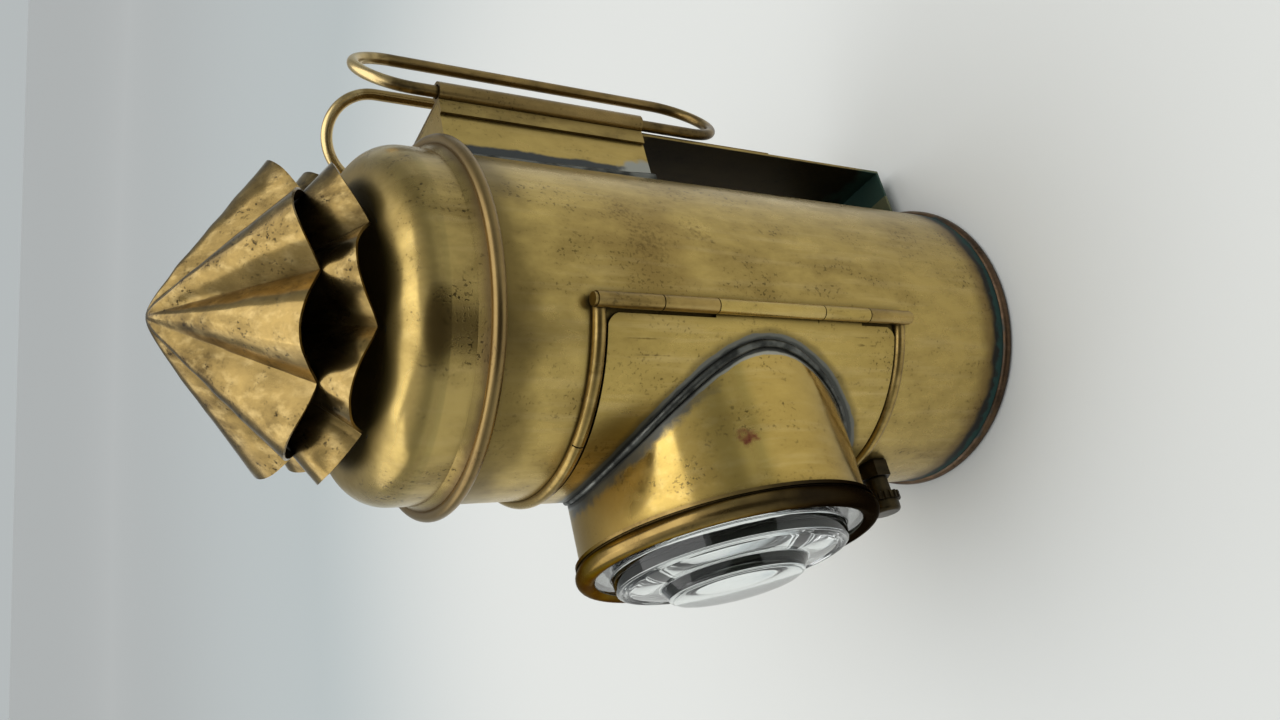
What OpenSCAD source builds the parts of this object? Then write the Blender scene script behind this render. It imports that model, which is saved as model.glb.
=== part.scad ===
// Boat signal lantern in sheet brass, with a bull's-eye door and a cap that turns the colours.
// Millimetres. Origin on the body axis at the underside, +Z up, lens toward -Y, hinge side +X.

/* [Body] */
// How much wider the body tube is than the lens tube
body_over = 10.4; // [9:0.2:14]
// Sheet thickness of the body tube
body_wall = 0.7; // [0.5:0.1:1]
// From the upper run of the door's frame to the body tube's upper edge
head_h = 24.6; // [22:0.2:32]
// Section radius of the base pan's rolled rim
rim_r = 1.7; // [1.5:0.1:2]
// How far the rolled rim stands proud of the body
rim_proud = 1.1; // [0.9:0.1:1.8]
// Sheet thickness of the base pan
base_wall = 0.8; // [0.6:0.1:1]
// Height of the base pan's spigot inside the body
spigot_h = 6; // [4:1:9]
// Diameter of an air hole low in the back
air_d = 4; // [2:0.5:5]
// Height of the row of air holes
air_z = 16; // [14:1:20]
// Number of air holes
air_count = 7; // [3:2:9]
// Angle from one air hole to the next
air_step = 8; // [7:0.5:9]

/* [Door] */
// Angle of the hinge, and of the frame's other upright, from the front
frame_angle = 70.5; // [69.5:0.5:72]
// From the lens tube down to the frame bead's lower run
frame_below = 6.3; // [5.6:0.1:9]
// From the lens tube up to the frame bead's upper run
frame_above = 10.1; // [8:0.1:14]
// Section radius of the frame bead
bead_r = 1.7; // [1.5:0.1:2]
// How far the middle of the bead's section stands off the body
bead_lift = 0.4; // [0.2:0.1:0.6]
// Angle of the butt joint in the bead's upper run
butt_angle = 25.5; // [10:0.5:40]
// Width of the gap at the butt joint
butt_gap = 0.4; // [0.2:0.1:0.8]
// Radius of the hinge barrel
barrel_r = 1.9; // [1.8:0.1:2.2]
// From a knuckle's end to the groove turned in it
groove_from = 15.7; // [12:0.1:18]
// Depth of that groove
groove_deep = 0.3; // [0.2:0.05:0.4]
// Diameter of the hinge pin
pin_d = 1.8; // [1.4:0.1:2]
// From the lens axis up to the upper end of the door's knuckle
knuckle_up = 17.2; // [10:0.2:24]
// From the lens axis down to the lower end of the door's knuckle
knuckle_down = 31.6; // [22:0.2:34]
// Sheet thickness of the door
door_wall = 0.7; // [0.5:0.1:1]
// Radius of the door's corners
door_corner = 4; // [2:0.5:6]
// How far the door laps over the edge of its opening
door_lap = 2.4; // [1.5:0.1:3]
// Height of the pull knob above the lower run of the frame
pull_up = 10; // [8:0.5:14]
// Radius of the pull knob's head
pull_r = 2.8; // [2:0.1:3.2]
// Width of the catch leaf
leaf_w = 10; // [6:1:14]

/* [Lens] */
// Height of the lens axis
lens_z = 90.8; // [88:0.2:96]
// Outer diameter of the lens tube
tube_d = 77; // [70:0.2:84]
// Sheet thickness of the lens tube
tube_wall = 0.7; // [0.5:0.1:0.9]
// Distance of the lens tube's front edge from the body axis
tube_reach = 60.8; // [58:0.1:64]
// Width of the solder band along the saddle
solder_w = 1.7; // [1.2:0.1:2.6]
// Height of the solder band above the door
solder_h = 0.8; // [0.5:0.1:1.2]
// Section radius of the bezel's rolled bead
bezel_r = 2.6; // [2.4:0.1:2.9]
// How far the middle of the bead's section lies ahead of the tube's front edge
bezel_lead = 1.6; // [1.4:0.1:2]
// How far the middle of the bead's section lies inside the tube's outer face
bezel_in = 0.6; // [0.3:0.05:0.8]
// Sheet thickness of the bezel's sleeve
bezel_wall = 0.7; // [0.5:0.1:0.9]
// Length of the bezel's sleeve along the tube
sleeve_l = 1.7; // [1.5:0.1:4]
// Height of the fine lip at the back of the sleeve
lip_h = 0.6; // [0.4:0.1:0.8]
// Thickness of the glass at its edge
glass_edge = 4; // [3.4:0.1:4.6]
// Rise of the glass from the edge to the first step
step_rise = 4.3; // [3.6:0.1:4.8]
// From the edge of the glass to its first step
step_in = 6.6; // [5.6:0.1:8]
// Width of each fine ridge inside the first step
ridge_w = 1.5; // [1.2:0.1:1.7]
// Depth of the groove beside a ridge
ridge_h = 0.5; // [0.3:0.1:0.6]
// Radius of the centre disc's foot as a share of the first step's
disc_share = 0.637; // [0.6:0.001:0.66]
// Radius of the centre disc's upper edge as a share of the first step's
dome_share = 0.556; // [0.52:0.002:0.58]
// Rise of the glass from the first step to the foot of the centre disc
shoulder_rise = 1.8; // [1.4:0.1:2.4]
// Height of the centre disc's edge
disc_rise = 2.7; // [2.2:0.1:3.2]
// Rise of the dome on the centre disc
dome_rise = 1.6; // [1:0.1:2.4]
// Section diameter of the ring behind the glass
ring_d = 1.4; // [1:0.1:1.8]

/* [Cap] */
// Sheet thickness of the cap
cap_wall = 0.7; // [0.5:0.1:0.9]
// Section radius of the rolled bead at the cap's lower edge
cap_bead_r = 1.7; // [1.5:0.1:1.9]
// Radius of the wire inside that bead
wire_r = 1; // [0.8:0.1:1.1]
// How far the middle of the bead stands outside the body
cap_bead_out = 2.3; // [2.2:0.1:2.6]
// Height of the straight skirt above the body's edge
skirt_h = 10.1; // [8:0.1:13]
// Radius of the dome's shoulder
shoulder_r = 10.7; // [9:0.1:12]
// Slope of the dome's crown
crown_slope = 6; // [3:0.5:10]
// Outer diameter of the flue tube
flue_d = 41.2; // [36:0.2:44]
// Height of the flue tube above the dome's crown
flue_up = 12; // [8:0.5:13]
// Depth of the flue tube below the dome's crown
flue_down = 6; // [4:0.5:10]

/* [Chimney] */
// Number of flutes in each tier
flutes = 8; // [7:1:9]
// Angle of the lower tier's first crest about the axis
flute_turn = -8.5; // [-20:0.5:20]
// Sheet thickness of the tiers
tier_wall = 0.6; // [0.5:0.1:0.8]
// Slant length of the upper tier as a share of the lower tier's
upper_share = 0.956; // [0.92:0.002:0.98]
// Angle of the upper tier's crests from the axis
upper_crest = 53.8; // [52.8:0.1:55]
// Angle of the upper tier's valleys from the axis
upper_valley = 44.8; // [43.8:0.1:45.8]
// Angle from a valley's middle to the foot of a flute in the upper tier
upper_trough = 1; // [0.5:0.25:4]
// How far the lower tier's valleys reach past the dome's crown
lower_past = 0.3; // [-1:0.1:1]
// Angle of the lower tier's crests from the axis
lower_crest = 54.5; // [53.5:0.1:55.5]
// Angle of the lower tier's valleys from the axis
lower_valley = 44.5; // [43.5:0.1:45.5]
// Angle from a valley's middle to the foot of a flute in the lower tier
lower_trough = 2.5; // [1.5:0.25:6]
// Depth of the flat on the top below the cone's point
top_cut = 2.9; // [2.5:0.1:4]
// Distance from the cone's point at which the flutes begin
flute_start = 5; // [4.5:0.1:7]
// Part of its full width that a flute has where it begins
flute_taper = 0.6; // [0.4:0.05:0.8]
// Radius of the curve of a solder bead below a lower valley
blob_r = 2.8; // [2.4:0.1:3.4]
// Height of a solder bead
blob_h = 0.8; // [0.6:0.1:1.2]

/* [Colours] */
// Room between the body tube and the drum inside it
drum_gap = 2; // [1.6:0.1:3]
// Sheet thickness of the drum
drum_wall = 0.7; // [0.5:0.1:0.9]
// From the windows down to the drum's lower edge
drum_below = 8; // [6:0.5:9]
// Angle that each window of the drum spans
window_angle = 80; // [70:1:86]
// From the lens axis down to the windows' lower edge
window_down = 30.8; // [28:0.2:32]
// From the lens axis up to the windows' upper edge
window_up = 39.2; // [30:0.2:42]
// Angle that each pane spans
pane_angle = 92; // [88:1:100]
// Thickness of the panes
pane_t = 1.2; // [0.8:0.1:1.6]
// How far the panes reach past the windows above and below
pane_lap = 4; // [3:0.5:5]

/* [Back] */
// Width of the box and the strap
box_w = 42; // [38:0.5:44]
// Sheet thickness of the box
box_wall = 0.8; // [0.6:0.1:1]
// Gap for a belt between the body and the strap
belt_gap = 10.7; // [8:0.1:14]
// From the body's upper edge down to the box's top
box_drop = 4.5; // [3.5:0.1:8]
// Height of the box
box_h = 61; // [50:1:66]
// Thickness of the strap
strap_t = 0.9; // [0.7:0.1:1.2]
// Height of the strap's foot
foot_z = 5.4; // [5:0.2:8]
// Thickness of the handle plate and of the sleeves rolled from it
plate_t = 0.8; // [0.7:0.1:1]
// Length of the handle plate's tongue below the box
tongue_h = 47.5; // [30:0.5:60]
// How much narrower the tongue is than the strap, on each side
tongue_in = 0.5; // [0.4:0.1:2]
// How far the strap's edges are folded forward over the box's sides
fold_w = 3.2; // [2:0.1:4]
// Height of the solder along the box's sides
seam_h = 2.6; // [1.6:0.1:3.2]
// Thickness of that solder
seam_t = 0.6; // [0.4:0.1:0.9]

/* [Handles] */
// Diameter of the handle wire
wire_d = 3.2; // [2.8:0.1:3.4]
// Distance from the box's side to the hinge line of its handle
hinge_out = 0.3; // [0:0.1:1]
// Width of a handle between the middles of its legs
handle_w = 25.8; // [23:0.2:26.4]
// Height of a handle between the middles of its bends
handle_h = 110; // [100:1:114]
// How far the middle of the handles lies below the middle of the box
handle_drop = 6.4; // [3:0.1:9]
// Angle of the handles at rest from straight back
handle_rest = 33; // [28:1:36]

/* [Burner] */
// Outer diameter of the oil reservoir
tank_d = 66; // [60:1:70]
// From the winder shaft down to the reservoir's top
tank_down = 8.3; // [7.6:0.1:11]
// Sheet thickness of the reservoir
tank_wall = 0.7; // [0.5:0.1:1]
// Radius of the reservoir's upper edge
tank_edge = 2; // [1.5:0.5:3]
// Radius of the reservoir's neck
neck_r = 8.6; // [8:0.1:9.4]
// Width of the wick
wick_w = 10; // [9:0.5:11]
// Thickness of the wick
wick_t = 2.2; // [1.6:0.1:2.6]
// Height of the wick's lower end above the reservoir's floor
wick_low = 9; // [7:0.5:14]
// From the lens axis down to the wick tube's top
flame_down = 12.8; // [9:0.2:18]
// Height of the wick above its tube at rest
wick_up = 3.5; // [2:0.5:6]
// Wall of the wick tube
wick_wall = 0.6; // [0.4:0.1:0.7]
// Distance from the wick's middle to the winder shaft
winder_x = 5.8; // [5.6:0.1:6.2]
// From the lower run of the door's frame down to the winder shaft
winder_down = 8.7; // [8:0.1:10]
// Diameter of the winder shaft
winder_d = 2.4; // [2:0.1:2.6]
// Number of teeth on a spur wheel
spur_teeth = 12; // [8:1:16]
// Thickness of a spur wheel
spur_t = 1.4; // [1:0.1:1.6]
// Width across the flats of the bush
bush_af = 8.6; // [8:0.1:9.2]
// How far the bush stands out from the body
bush_out = 3.9; // [3.2:0.1:4.6]
// Diameter of the knob's shank
shank_d = 7; // [6:0.1:7.4]
// Diameter of the knob's ribbed disc
disc_d = 10.8; // [9.6:0.1:11.2]
// Length of the knob
knob_l = 10.1; // [9:0.1:12]
// Number of ribs on the knob's disc
knob_ribs = 20; // [12:1:24]
// Diameter of the reflector
mirror_d = 54; // [48:1:56]
// Radius of the reflector's curve
mirror_curve = 45; // [40:1:60]
// Distance of the reflector's back from the body axis
mirror_y = 27.6; // [26:0.2:29]
// Width of the reflector's bracket
bracket_w = 10; // [8:1:14]
// Diameter of the filler cap
filler_d = 14; // [12:0.5:15]

/* [Hidden] */
// Which piece to draw, or all of them
$fn = 96;
eps = 0.01;
// Room between soldered sheets, in a push fit, under a resting tier, and round anything that moves
solder_gap = 0.05;
fit_gap = 0.1;
seat_gap = 0.15;
run_gap = 0.3;

body_d = tube_d + body_over;
body_r = body_d / 2;
body_in = body_r - body_wall;
rim_z = rim_r - 0.2;
rim_mid = body_r + rim_proud - rim_r;
body_low = rim_z + rim_r + solder_gap;

tube_r = tube_d / 2;
tube_in = tube_r - tube_wall;
frame_low = lens_z - tube_r - frame_below;
frame_high = lens_z + tube_r + frame_above;
body_top = frame_high + head_h;
knuckle_high = lens_z + knuckle_up;
knuckle_low = lens_z - knuckle_down;
pull_z = frame_low + pull_up;

door_in = body_r + run_gap;
door_out = door_in + door_wall;
barrel_at = body_r + run_gap + fit_gap + barrel_r;
bead_mid = body_r + bead_lift;
// Angle that the bead or the barrel covers beside the door, with a running gap
edge_angle = frame_angle - (max(bead_r, barrel_r) + 2 * run_gap) / body_r * 180 / PI;
open_angle = edge_angle - door_lap / body_r * 180 / PI;
door_low = frame_low + bead_r + 1.6 * run_gap;
door_high = frame_high - bead_r - 1.6 * run_gap;
pin_r = pin_d / 2;
foot_half = barrel_r * 0.7;

sleeve_in = tube_r + fit_gap;
sleeve_out = sleeve_in + bezel_wall;
bezel_mid = tube_r - bezel_in;
bezel_h = tube_reach + bezel_lead;
glass_r = tube_in - run_gap;
glass_front = bezel_h + bezel_r * 0.54;
glass_back = glass_front - glass_edge;
step_top = glass_front + step_rise;
ring_y = glass_back - ring_d / 2 - solder_gap;
step_r = glass_r - step_in;
disc_r = step_r * disc_share;
dome_r = step_r * dome_share;

cap_r = body_r;
cap_in = cap_r - cap_wall;
cap_bead_z = body_top + 0.5;
cap_bead_mid = body_r + cap_bead_out;
shoulder_z = body_top + skirt_h;
crown_r = cap_r - shoulder_r;
crown_z = shoulder_z + shoulder_r;
flue_r = flue_d / 2;
flue_in = flue_r - cap_wall;

lower_edge_r = crown_r + lower_past;
lower_slant = lower_edge_r / sin(lower_valley);
upper_slant = lower_slant * upper_share;
lower_apex = dome_top(lower_edge_r) + seat_gap + tier_wall / sin(lower_valley)
    + lower_slant * cos(lower_valley);
upper_edge_r = upper_slant * sin(upper_valley);
upper_apex = lower_apex - upper_edge_r / tan(lower_crest) + seat_gap
    + tier_wall / sin(upper_valley) + upper_slant * cos(upper_valley);

drum_r = body_in - drum_gap;
drum_in = drum_r - drum_wall;
pane_out = drum_in - fit_gap;
pane_in = pane_out - pane_t;
window_low = lens_z - window_down;
window_high = lens_z + window_up;
drum_low = window_low - drum_below;
pane_low = window_low - pane_lap;
pane_high = window_high + pane_lap;
window_turn = 360 / 3;

strap_y = body_r + belt_gap;
box_high = body_top - box_drop;
box_low = box_high - box_h;
tongue_low = box_low - tongue_h;
handle_z = (box_low + box_high) / 2 - handle_drop;
box_back = strap_y - solder_gap;
plate_y = strap_y + strap_t + solder_gap;
wire_r_handle = wire_d / 2;
roll_in = wire_r_handle + run_gap;
roll_out = roll_in + plate_t;
hinge_x = box_w / 2 + hinge_out;
hinge_y = plate_y + roll_out;
bend_r = handle_w / 2;
leg_h = handle_h - handle_w;

tank_r = tank_d / 2;
tank_low = base_wall + solder_gap;
winder_z = frame_low - winder_down;
tank_top = winder_z - tank_down;
burner_top = lens_z - flame_down;
bush_y = body_r + bush_out;
collar_low = tank_top + solder_gap;
spur_r = winder_x - wick_t / 2 - run_gap;
spur_y = wick_w / 2 - spur_t / 2 - run_gap;
collar_top = winder_z - spur_r - run_gap;
wick_tube_x = wick_t / 2 + run_gap;
wick_tube_y = wick_w / 2 + run_gap;
ear_y = wick_tube_y + wick_wall + 2;
ear_t = 1.6;
winder_r = winder_d / 2;
bush_bore = winder_r + run_gap;
bush_in = body_in - 2;
spigot_r = bush_af / 2 - 1;
knob_in = bush_y + run_gap;
knob_y = knob_in + knob_l;
knob_cap = 2;
disc_y = knob_y - 4.4;
disc_t = 2.2;
mirror_z = lens_z;
mirror_t = 0.6;
filler_x = -19;
filler_y = 6;
filler_r = filler_d / 2;
filler_lip = 2;
filler_h = 4;

// Height of the dome's outer face at a radius on the crown
function dome_top(r) = r <= crown_r
    ? crown_z + (crown_r - r) * tan(crown_slope)
    : shoulder_z + sqrt(shoulder_r * shoulder_r - (r - crown_r) * (r - crown_r));

// Lean of a flute's own cone, so that it passes through the crest line and the trough's foot
function flute_lean(crest, valley, foot) =
    atan((cos(valley) - cos(crest)) / (sin(crest) - sin(valley) * cos(foot)));

// Turn a child that lies toward +X to an angle from the front, positive to the hinge side
module facing(a) {
    rotate([0, 0, a - 90]) children();
}

// Turn a revolved profile so that its height runs forward along the lens axis
module along_lens() {
    translate([0, 0, lens_z]) rotate([90, 0, 0]) children();
}

module ring(r_in, r_out, z0, z1) {
    translate([0, 0, z0]) difference() {
        cylinder(r = r_out, h = z1 - z0);
        translate([0, 0, -eps]) cylinder(r = r_in, h = z1 - z0 + 2 * eps);
    }
}

// Part of a ring from angle a0 to a1 about the front
module sector(r_in, r_out, z0, z1, a0, a1) {
    facing(a0) rotate_extrude(angle = a1 - a0)
        translate([r_in, z0]) square([r_out - r_in, z1 - z0]);
}

module body_shell() {
    color("#b08d4a") difference() {
        ring(body_in, body_r, body_low, body_top);
        sector(body_in - 1, body_r + 1, door_low + door_lap, door_high - door_lap, -open_angle, open_angle);
        translate([winder_x, -bush_in, winder_z]) rotate([90, 0, 0])
            cylinder(r = spigot_r + fit_gap, h = bush_y - bush_in);
        for (k = [0 : air_count - 1])
            rotate([0, 0, 90 + (k - (air_count - 1) / 2) * air_step])
                translate([body_in - 2, 0, air_z]) rotate([0, 90, 0])
                    cylinder(d = air_d, h = air_d + body_wall);
    }
}

module base_plate() {
    color("#8f6f38") rotate_extrude() {
        intersection() {
            translate([rim_mid, rim_z]) circle(r = rim_r);
            square([body_d, rim_z + rim_r]);
        }
        square([rim_mid, base_wall]);
        translate([body_in - fit_gap - base_wall, 0]) square([base_wall, base_wall + spigot_h]);
    }
}

// Half-round bead round the door: two runs, the upper one with a butt joint, and the upright on the catch side
module door_frame_bead() {
    color("#a98848") difference() {
        union() {
            for (z = [frame_low, frame_high])
                facing(-frame_angle) rotate_extrude(angle = 2 * frame_angle)
                    translate([bead_mid, z]) circle(r = bead_r, $fn = 48);
            facing(-frame_angle) translate([bead_mid, 0, frame_low])
                cylinder(r = bead_r, h = frame_high - frame_low, $fn = 48);
            for (z = [frame_low, frame_high])
                facing(-frame_angle) translate([bead_mid, 0, z]) sphere(r = bead_r, $fn = 48);
        }
        cylinder(r = body_r + solder_gap, h = body_top);
        facing(frame_angle) {
            translate([barrel_at, 0, 0]) cylinder(r = barrel_r + solder_gap, h = body_top);
            translate([body_in, -foot_half - solder_gap, 0])
                cube([barrel_at - body_in, 2 * (foot_half + solder_gap), body_top]);
        }
        facing(butt_angle) translate([body_r + bead_r / 2, -butt_gap / 2, frame_high - 2 * bead_r])
            cube([2 * bead_r, butt_gap, 4 * bead_r]);
    }
}

// Cutter for a groove round the hinge barrel
module barrel_groove(z) {
    half = groove_deep / 2;
    translate([barrel_at, 0, 0]) ring(barrel_r - groove_deep, barrel_r + 1, z - half, z + half);
}

// Fixed knuckle with a foot that fits the curve of the body
module knuckle(z0, z1) {
    facing(frame_angle) difference() {
        union() {
            translate([barrel_at, 0, z0]) cylinder(r = barrel_r, h = z1 - z0, $fn = 48);
            translate([body_in, -foot_half, z0]) cube([barrel_at - body_in, 2 * foot_half, z1 - z0]);
        }
        cylinder(r = body_r + solder_gap, h = body_top);
        translate([barrel_at, 0, 0]) cylinder(r = pin_r + solder_gap, h = body_top, $fn = 48);
        barrel_groove(knuckle_high + groove_from);
    }
}

module frame_knuckles() {
    color("#9d7d40") {
        knuckle(knuckle_high + run_gap / 2, frame_high + bead_r);
        knuckle(frame_low - bead_r, knuckle_low - run_gap / 2);
    }
}

module hinge_pin() {
    head_h = 0.8;
    color("#7d6333") facing(frame_angle) translate([barrel_at, 0, frame_low - bead_r - head_h]) {
        cylinder(r = pin_r, h = frame_high - frame_low + 2 * bead_r + 2 * head_h, $fn = 32);
        cylinder(r = barrel_r - run_gap, h = head_h - solder_gap, $fn = 32);
        translate([0, 0, frame_high - frame_low + 2 * bead_r + head_h + solder_gap])
            cylinder(r = barrel_r - run_gap, h = head_h - solder_gap, $fn = 32);
    }
}

// Spring leaf inside the body, whose pip the door's free edge snaps over
module catch_leaf() {
    leaf_t = 0.6;
    leaf_out = body_in - solder_gap;
    tip = open_angle - 3;
    pip_r = 0.9;
    color("#c0a060") {
        sector(leaf_out - leaf_t, leaf_out, lens_z - leaf_w / 2, lens_z + leaf_w / 2,
            -open_angle - 10, -tip);
        facing(-tip - 1.4) translate([door_in - run_gap - pip_r, 0, lens_z]) sphere(r = pip_r, $fn = 32);
    }
}

// Outline between the body and the strap, seen from above
module back_outline(x0, x1, y1) {
    difference() {
        translate([x0, 0]) square([x1 - x0, y1]);
        circle(r = body_r + solder_gap);
    }
}

module back_box() {
    flange = 4;
    color("#b59350") {
        for (s = [0, 1]) mirror([s, 0, 0]) translate([0, 0, box_low]) linear_extrude(box_high - box_low) {
            back_outline(box_w / 2 - box_wall, box_w / 2, box_back);
            translate([box_w / 2 - flange, box_back - box_wall]) square([flange, box_wall]);
        }
        translate([0, 0, box_high - box_wall]) linear_extrude(box_wall)
            back_outline(-box_w / 2, box_w / 2, box_back);
    }
}

// Grey solder along the two sides of the box, heavier at the lower end
module box_solder_seams() {
    heavy_l = 11;
    heavy = 1.9;
    side = box_w / 2 + solder_gap;
    color("#8b8c8c") for (s = [0, 1]) mirror([s, 0, 0])
        for (run = [[box_low, heavy_l, heavy], [box_low + heavy_l, box_high - box_low - heavy_l, 1]])
            translate([0, 0, run[0]]) linear_extrude(run[1]) intersection() {
                back_outline(side, side + seam_t, box_back - fold_w);
                circle(r = body_r + seam_h * run[2]);
            }
}

// Long strap behind the box, folded over the box's sides and bent in to the body at its foot
module back_strap() {
    color("#6f5a34") {
        translate([-box_w / 2, strap_y, foot_z]) cube([box_w, strap_t, box_high - foot_z]);
        for (s = [0, 1]) mirror([s, 0, 0]) translate([box_w / 2 - eps, strap_y - fold_w, box_low])
            difference() {
                cube([solder_gap + strap_t + eps, fold_w + strap_t, box_high - box_low]);
                translate([-eps, -eps, -eps]) cube([solder_gap + 2 * eps, fold_w + eps, box_high]);
            }
        translate([0, 0, foot_z]) linear_extrude(strap_t)
            back_outline(-box_w / 2, box_w / 2, strap_y + eps);
    }
}

// Plate with its edges rolled into sleeves for the handles, and a tongue below them
module handle_plate() {
    color("#8a6b3c") {
        translate([-box_w / 2 + tongue_in, plate_y, tongue_low])
            cube([box_w - 2 * tongue_in, plate_t, box_low - tongue_low + eps]);
        translate([0, 0, box_low]) difference() {
            union() {
                translate([-hinge_x, plate_y, 0]) cube([2 * hinge_x, plate_t, box_high - box_low]);
                for (s = [-1, 1]) translate([s * hinge_x, hinge_y, 0])
                    cylinder(r = roll_out, h = box_high - box_low, $fn = 48);
            }
            for (s = [-1, 1]) translate([s * hinge_x, hinge_y, -eps])
                cylinder(r = roll_in, h = box_high - box_low + 2 * eps, $fn = 48);
        }
    }
}

// Wire loop in the XZ plane, with its hinge leg on the Z axis and its other leg toward +X
module wire_loop() {
    for (x = [0, handle_w]) translate([x, 0, -leg_h / 2]) cylinder(r = wire_r_handle, h = leg_h, $fn = 40);
    for (s = [0, 1]) mirror([0, 0, s]) translate([bend_r, 0, leg_h / 2]) rotate([90, 0, 0])
        rotate_extrude(angle = 180) translate([bend_r, 0]) circle(r = wire_r_handle, $fn = 40);
}

module hinge_side_handle() {
    color("#94703d") translate([hinge_x, hinge_y, handle_z]) rotate([0, 0, 90 + handle_rest]) wire_loop();
}

module catch_side_handle() {
    color("#94703d") translate([-hinge_x, hinge_y, handle_z]) rotate([0, 0, 90 - handle_rest]) wire_loop();
}

// Hexagonal bush in the body wall for the winder shaft
module winder_bush() {
    color("#5e5434") translate([winder_x, 0, winder_z]) rotate([90, 0, 0]) difference() {
        union() {
            difference() {
                translate([0, 0, body_in]) rotate([0, 0, 30])
                    cylinder(d = bush_af / cos(30), h = bush_y - body_in, $fn = 6);
                translate([-winder_x, 0, 0]) rotate([90, 0, 0]) translate([0, 0, -disc_d])
                    cylinder(r = body_r + solder_gap, h = 2 * disc_d);
            }
            translate([0, 0, bush_in]) cylinder(r = spigot_r, h = bush_y - bush_in - 1, $fn = 48);
        }
        translate([0, 0, bush_in - eps]) cylinder(r = bush_bore, h = bush_y, $fn = 48);
    }
}

// Cut that rounds one corner of the door, drawn toward +X
module corner_cut(up) {
    deep = door_out - body_in + door_corner;
    mirror([0, 0, up ? 0 : 1]) translate([body_in, 0, 0]) difference() {
        translate([0, -eps, -eps]) cube([deep, door_corner * 2, door_corner * 2]);
        translate([-1, 0, 0]) rotate([0, 90, 0]) cylinder(r = door_corner, h = deep + 2, $fn = 48);
    }
}

// Curved panel with rounded corners, a tab on the hinge side and the door's own knuckle
module door_panel() {
    corner_in = door_corner * 0.96;
    corner_angle = corner_in / door_out * 180 / PI;
    low = knuckle_low + run_gap / 2;
    high = knuckle_high - run_gap / 2;
    tab_in = 0.6;
    tab_angle = frame_angle - barrel_r / 3 / body_r * 180 / PI;
    color("#b7964f") difference() {
        union() {
            difference() {
                sector(door_in, door_out, door_low, door_high, -edge_angle, tab_angle);
                sector(door_in - 1, door_out + 1, door_low - 1, low + tab_in, edge_angle, frame_angle);
                sector(door_in - 1, door_out + 1, high - tab_in, door_high + 1, edge_angle, frame_angle);
                for (up = [true, false]) {
                    z = up ? door_high - corner_in : door_low + corner_in;
                    translate([0, 0, z]) facing(edge_angle - corner_angle) corner_cut(up);
                    translate([0, 0, z]) mirror([1, 0, 0]) facing(edge_angle - corner_angle) corner_cut(up);
                }
            }
            facing(frame_angle) translate([barrel_at, 0, low])
                cylinder(r = barrel_r, h = high - low, $fn = 48);
        }
        along_lens() cylinder(r = tube_r + solder_gap, h = tube_reach);
        facing(frame_angle) translate([barrel_at, 0, frame_low])
            cylinder(r = pin_r + run_gap, h = frame_high - frame_low, $fn = 48);
        facing(frame_angle) barrel_groove(knuckle_low + groove_from);
    }
}

module door_pull() {
    stem = 4;
    head = 2.4;
    color("#a08044") facing(-edge_angle + 6) translate([0, 0, pull_z]) difference() {
        rotate([0, 90, 0]) {
            cylinder(r = pull_r * 0.5, h = door_out + stem, $fn = 40);
            translate([0, 0, door_out + stem - eps])
                cylinder(r1 = pull_r, r2 = pull_r * 0.8, h = head, $fn = 40);
        }
        translate([0, 0, -pull_r]) cylinder(r = door_out + solder_gap, h = 2 * pull_r);
    }
}

// Tube cut to a saddle that fits the curved door
module lens_tube() {
    color("#b8974c") difference() {
        along_lens() difference() {
            cylinder(r = tube_r, h = tube_reach);
            translate([0, 0, -eps]) cylinder(r = tube_in, h = tube_reach + 1);
        }
        cylinder(r = door_in, h = body_top);
    }
}

// Solder band on the door along the saddle
module lens_solder_seam() {
    color("#7f8080") difference() {
        intersection() {
            along_lens() cylinder(r = tube_r + solder_w, h = body_d);
            difference() {
                cylinder(r = door_out + solder_h, h = body_top);
                translate([0, 0, -eps]) cylinder(r = door_out + solder_gap, h = body_top + 1);
            }
        }
        along_lens() cylinder(r = tube_r + solder_gap, h = body_d);
    }
}

// Spun bezel: short sleeve on the tube, with a fine lip, and a rolled bead in front of the glass
module lens_bezel() {
    back = tube_reach - sleeve_l;
    color("#a9823f") along_lens() rotate_extrude() difference() {
        union() {
            translate([sleeve_in, back]) square([bezel_wall, sleeve_l + bezel_lead]);
            translate([sleeve_in, back]) square([bezel_wall + lip_h, lip_h * 1.4]);
            translate([bezel_mid, bezel_h]) circle(r = bezel_r, $fn = 64);
        }
        square([sleeve_in, glass_front + solder_gap]);
    }
}

// Stepped bull's-eye: flat edge, step with fine ridges, shoulder, and a centre disc with a domed top
module lens_glass() {
    ridges = 2;
    shoulder_n = 10;
    inner_r = step_r - ridges * ridge_w;
    disc_top = step_top + shoulder_rise + disc_rise;
    color("#dfe8e6", 0.6) along_lens() rotate_extrude() polygon(concat(
        [[0, glass_back], [glass_r, glass_back], [glass_r, glass_front]],
        [[step_r + ridge_h, glass_front], [step_r + ridge_h / 2, glass_front + ridge_h / 2]],
        [for (k = [0 : ridges - 1]) each [
            [step_r - k * ridge_w, step_top - ridge_h],
            [step_r - k * ridge_w - ridge_w * 0.5, step_top],
            [step_r - k * ridge_w - ridge_w * 0.9, step_top - ridge_h]]],
        [for (k = [0 : shoulder_n])
            [inner_r + (disc_r - inner_r) * k / shoulder_n,
             step_top + shoulder_rise * sin(90 * k / shoulder_n)]],
        [for (k = [0 : shoulder_n])
            [dome_r * cos(90 * k / shoulder_n), disc_top + dome_rise * sin(90 * k / shoulder_n)]]
    ));
}

// Wire ring that holds the glass against the bezel
module lens_ring() {
    color("#8d7238") along_lens() rotate_extrude()
        translate([tube_in - solder_gap - ring_d / 2, ring_y]) circle(d = ring_d, $fn = 32);
}

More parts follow.
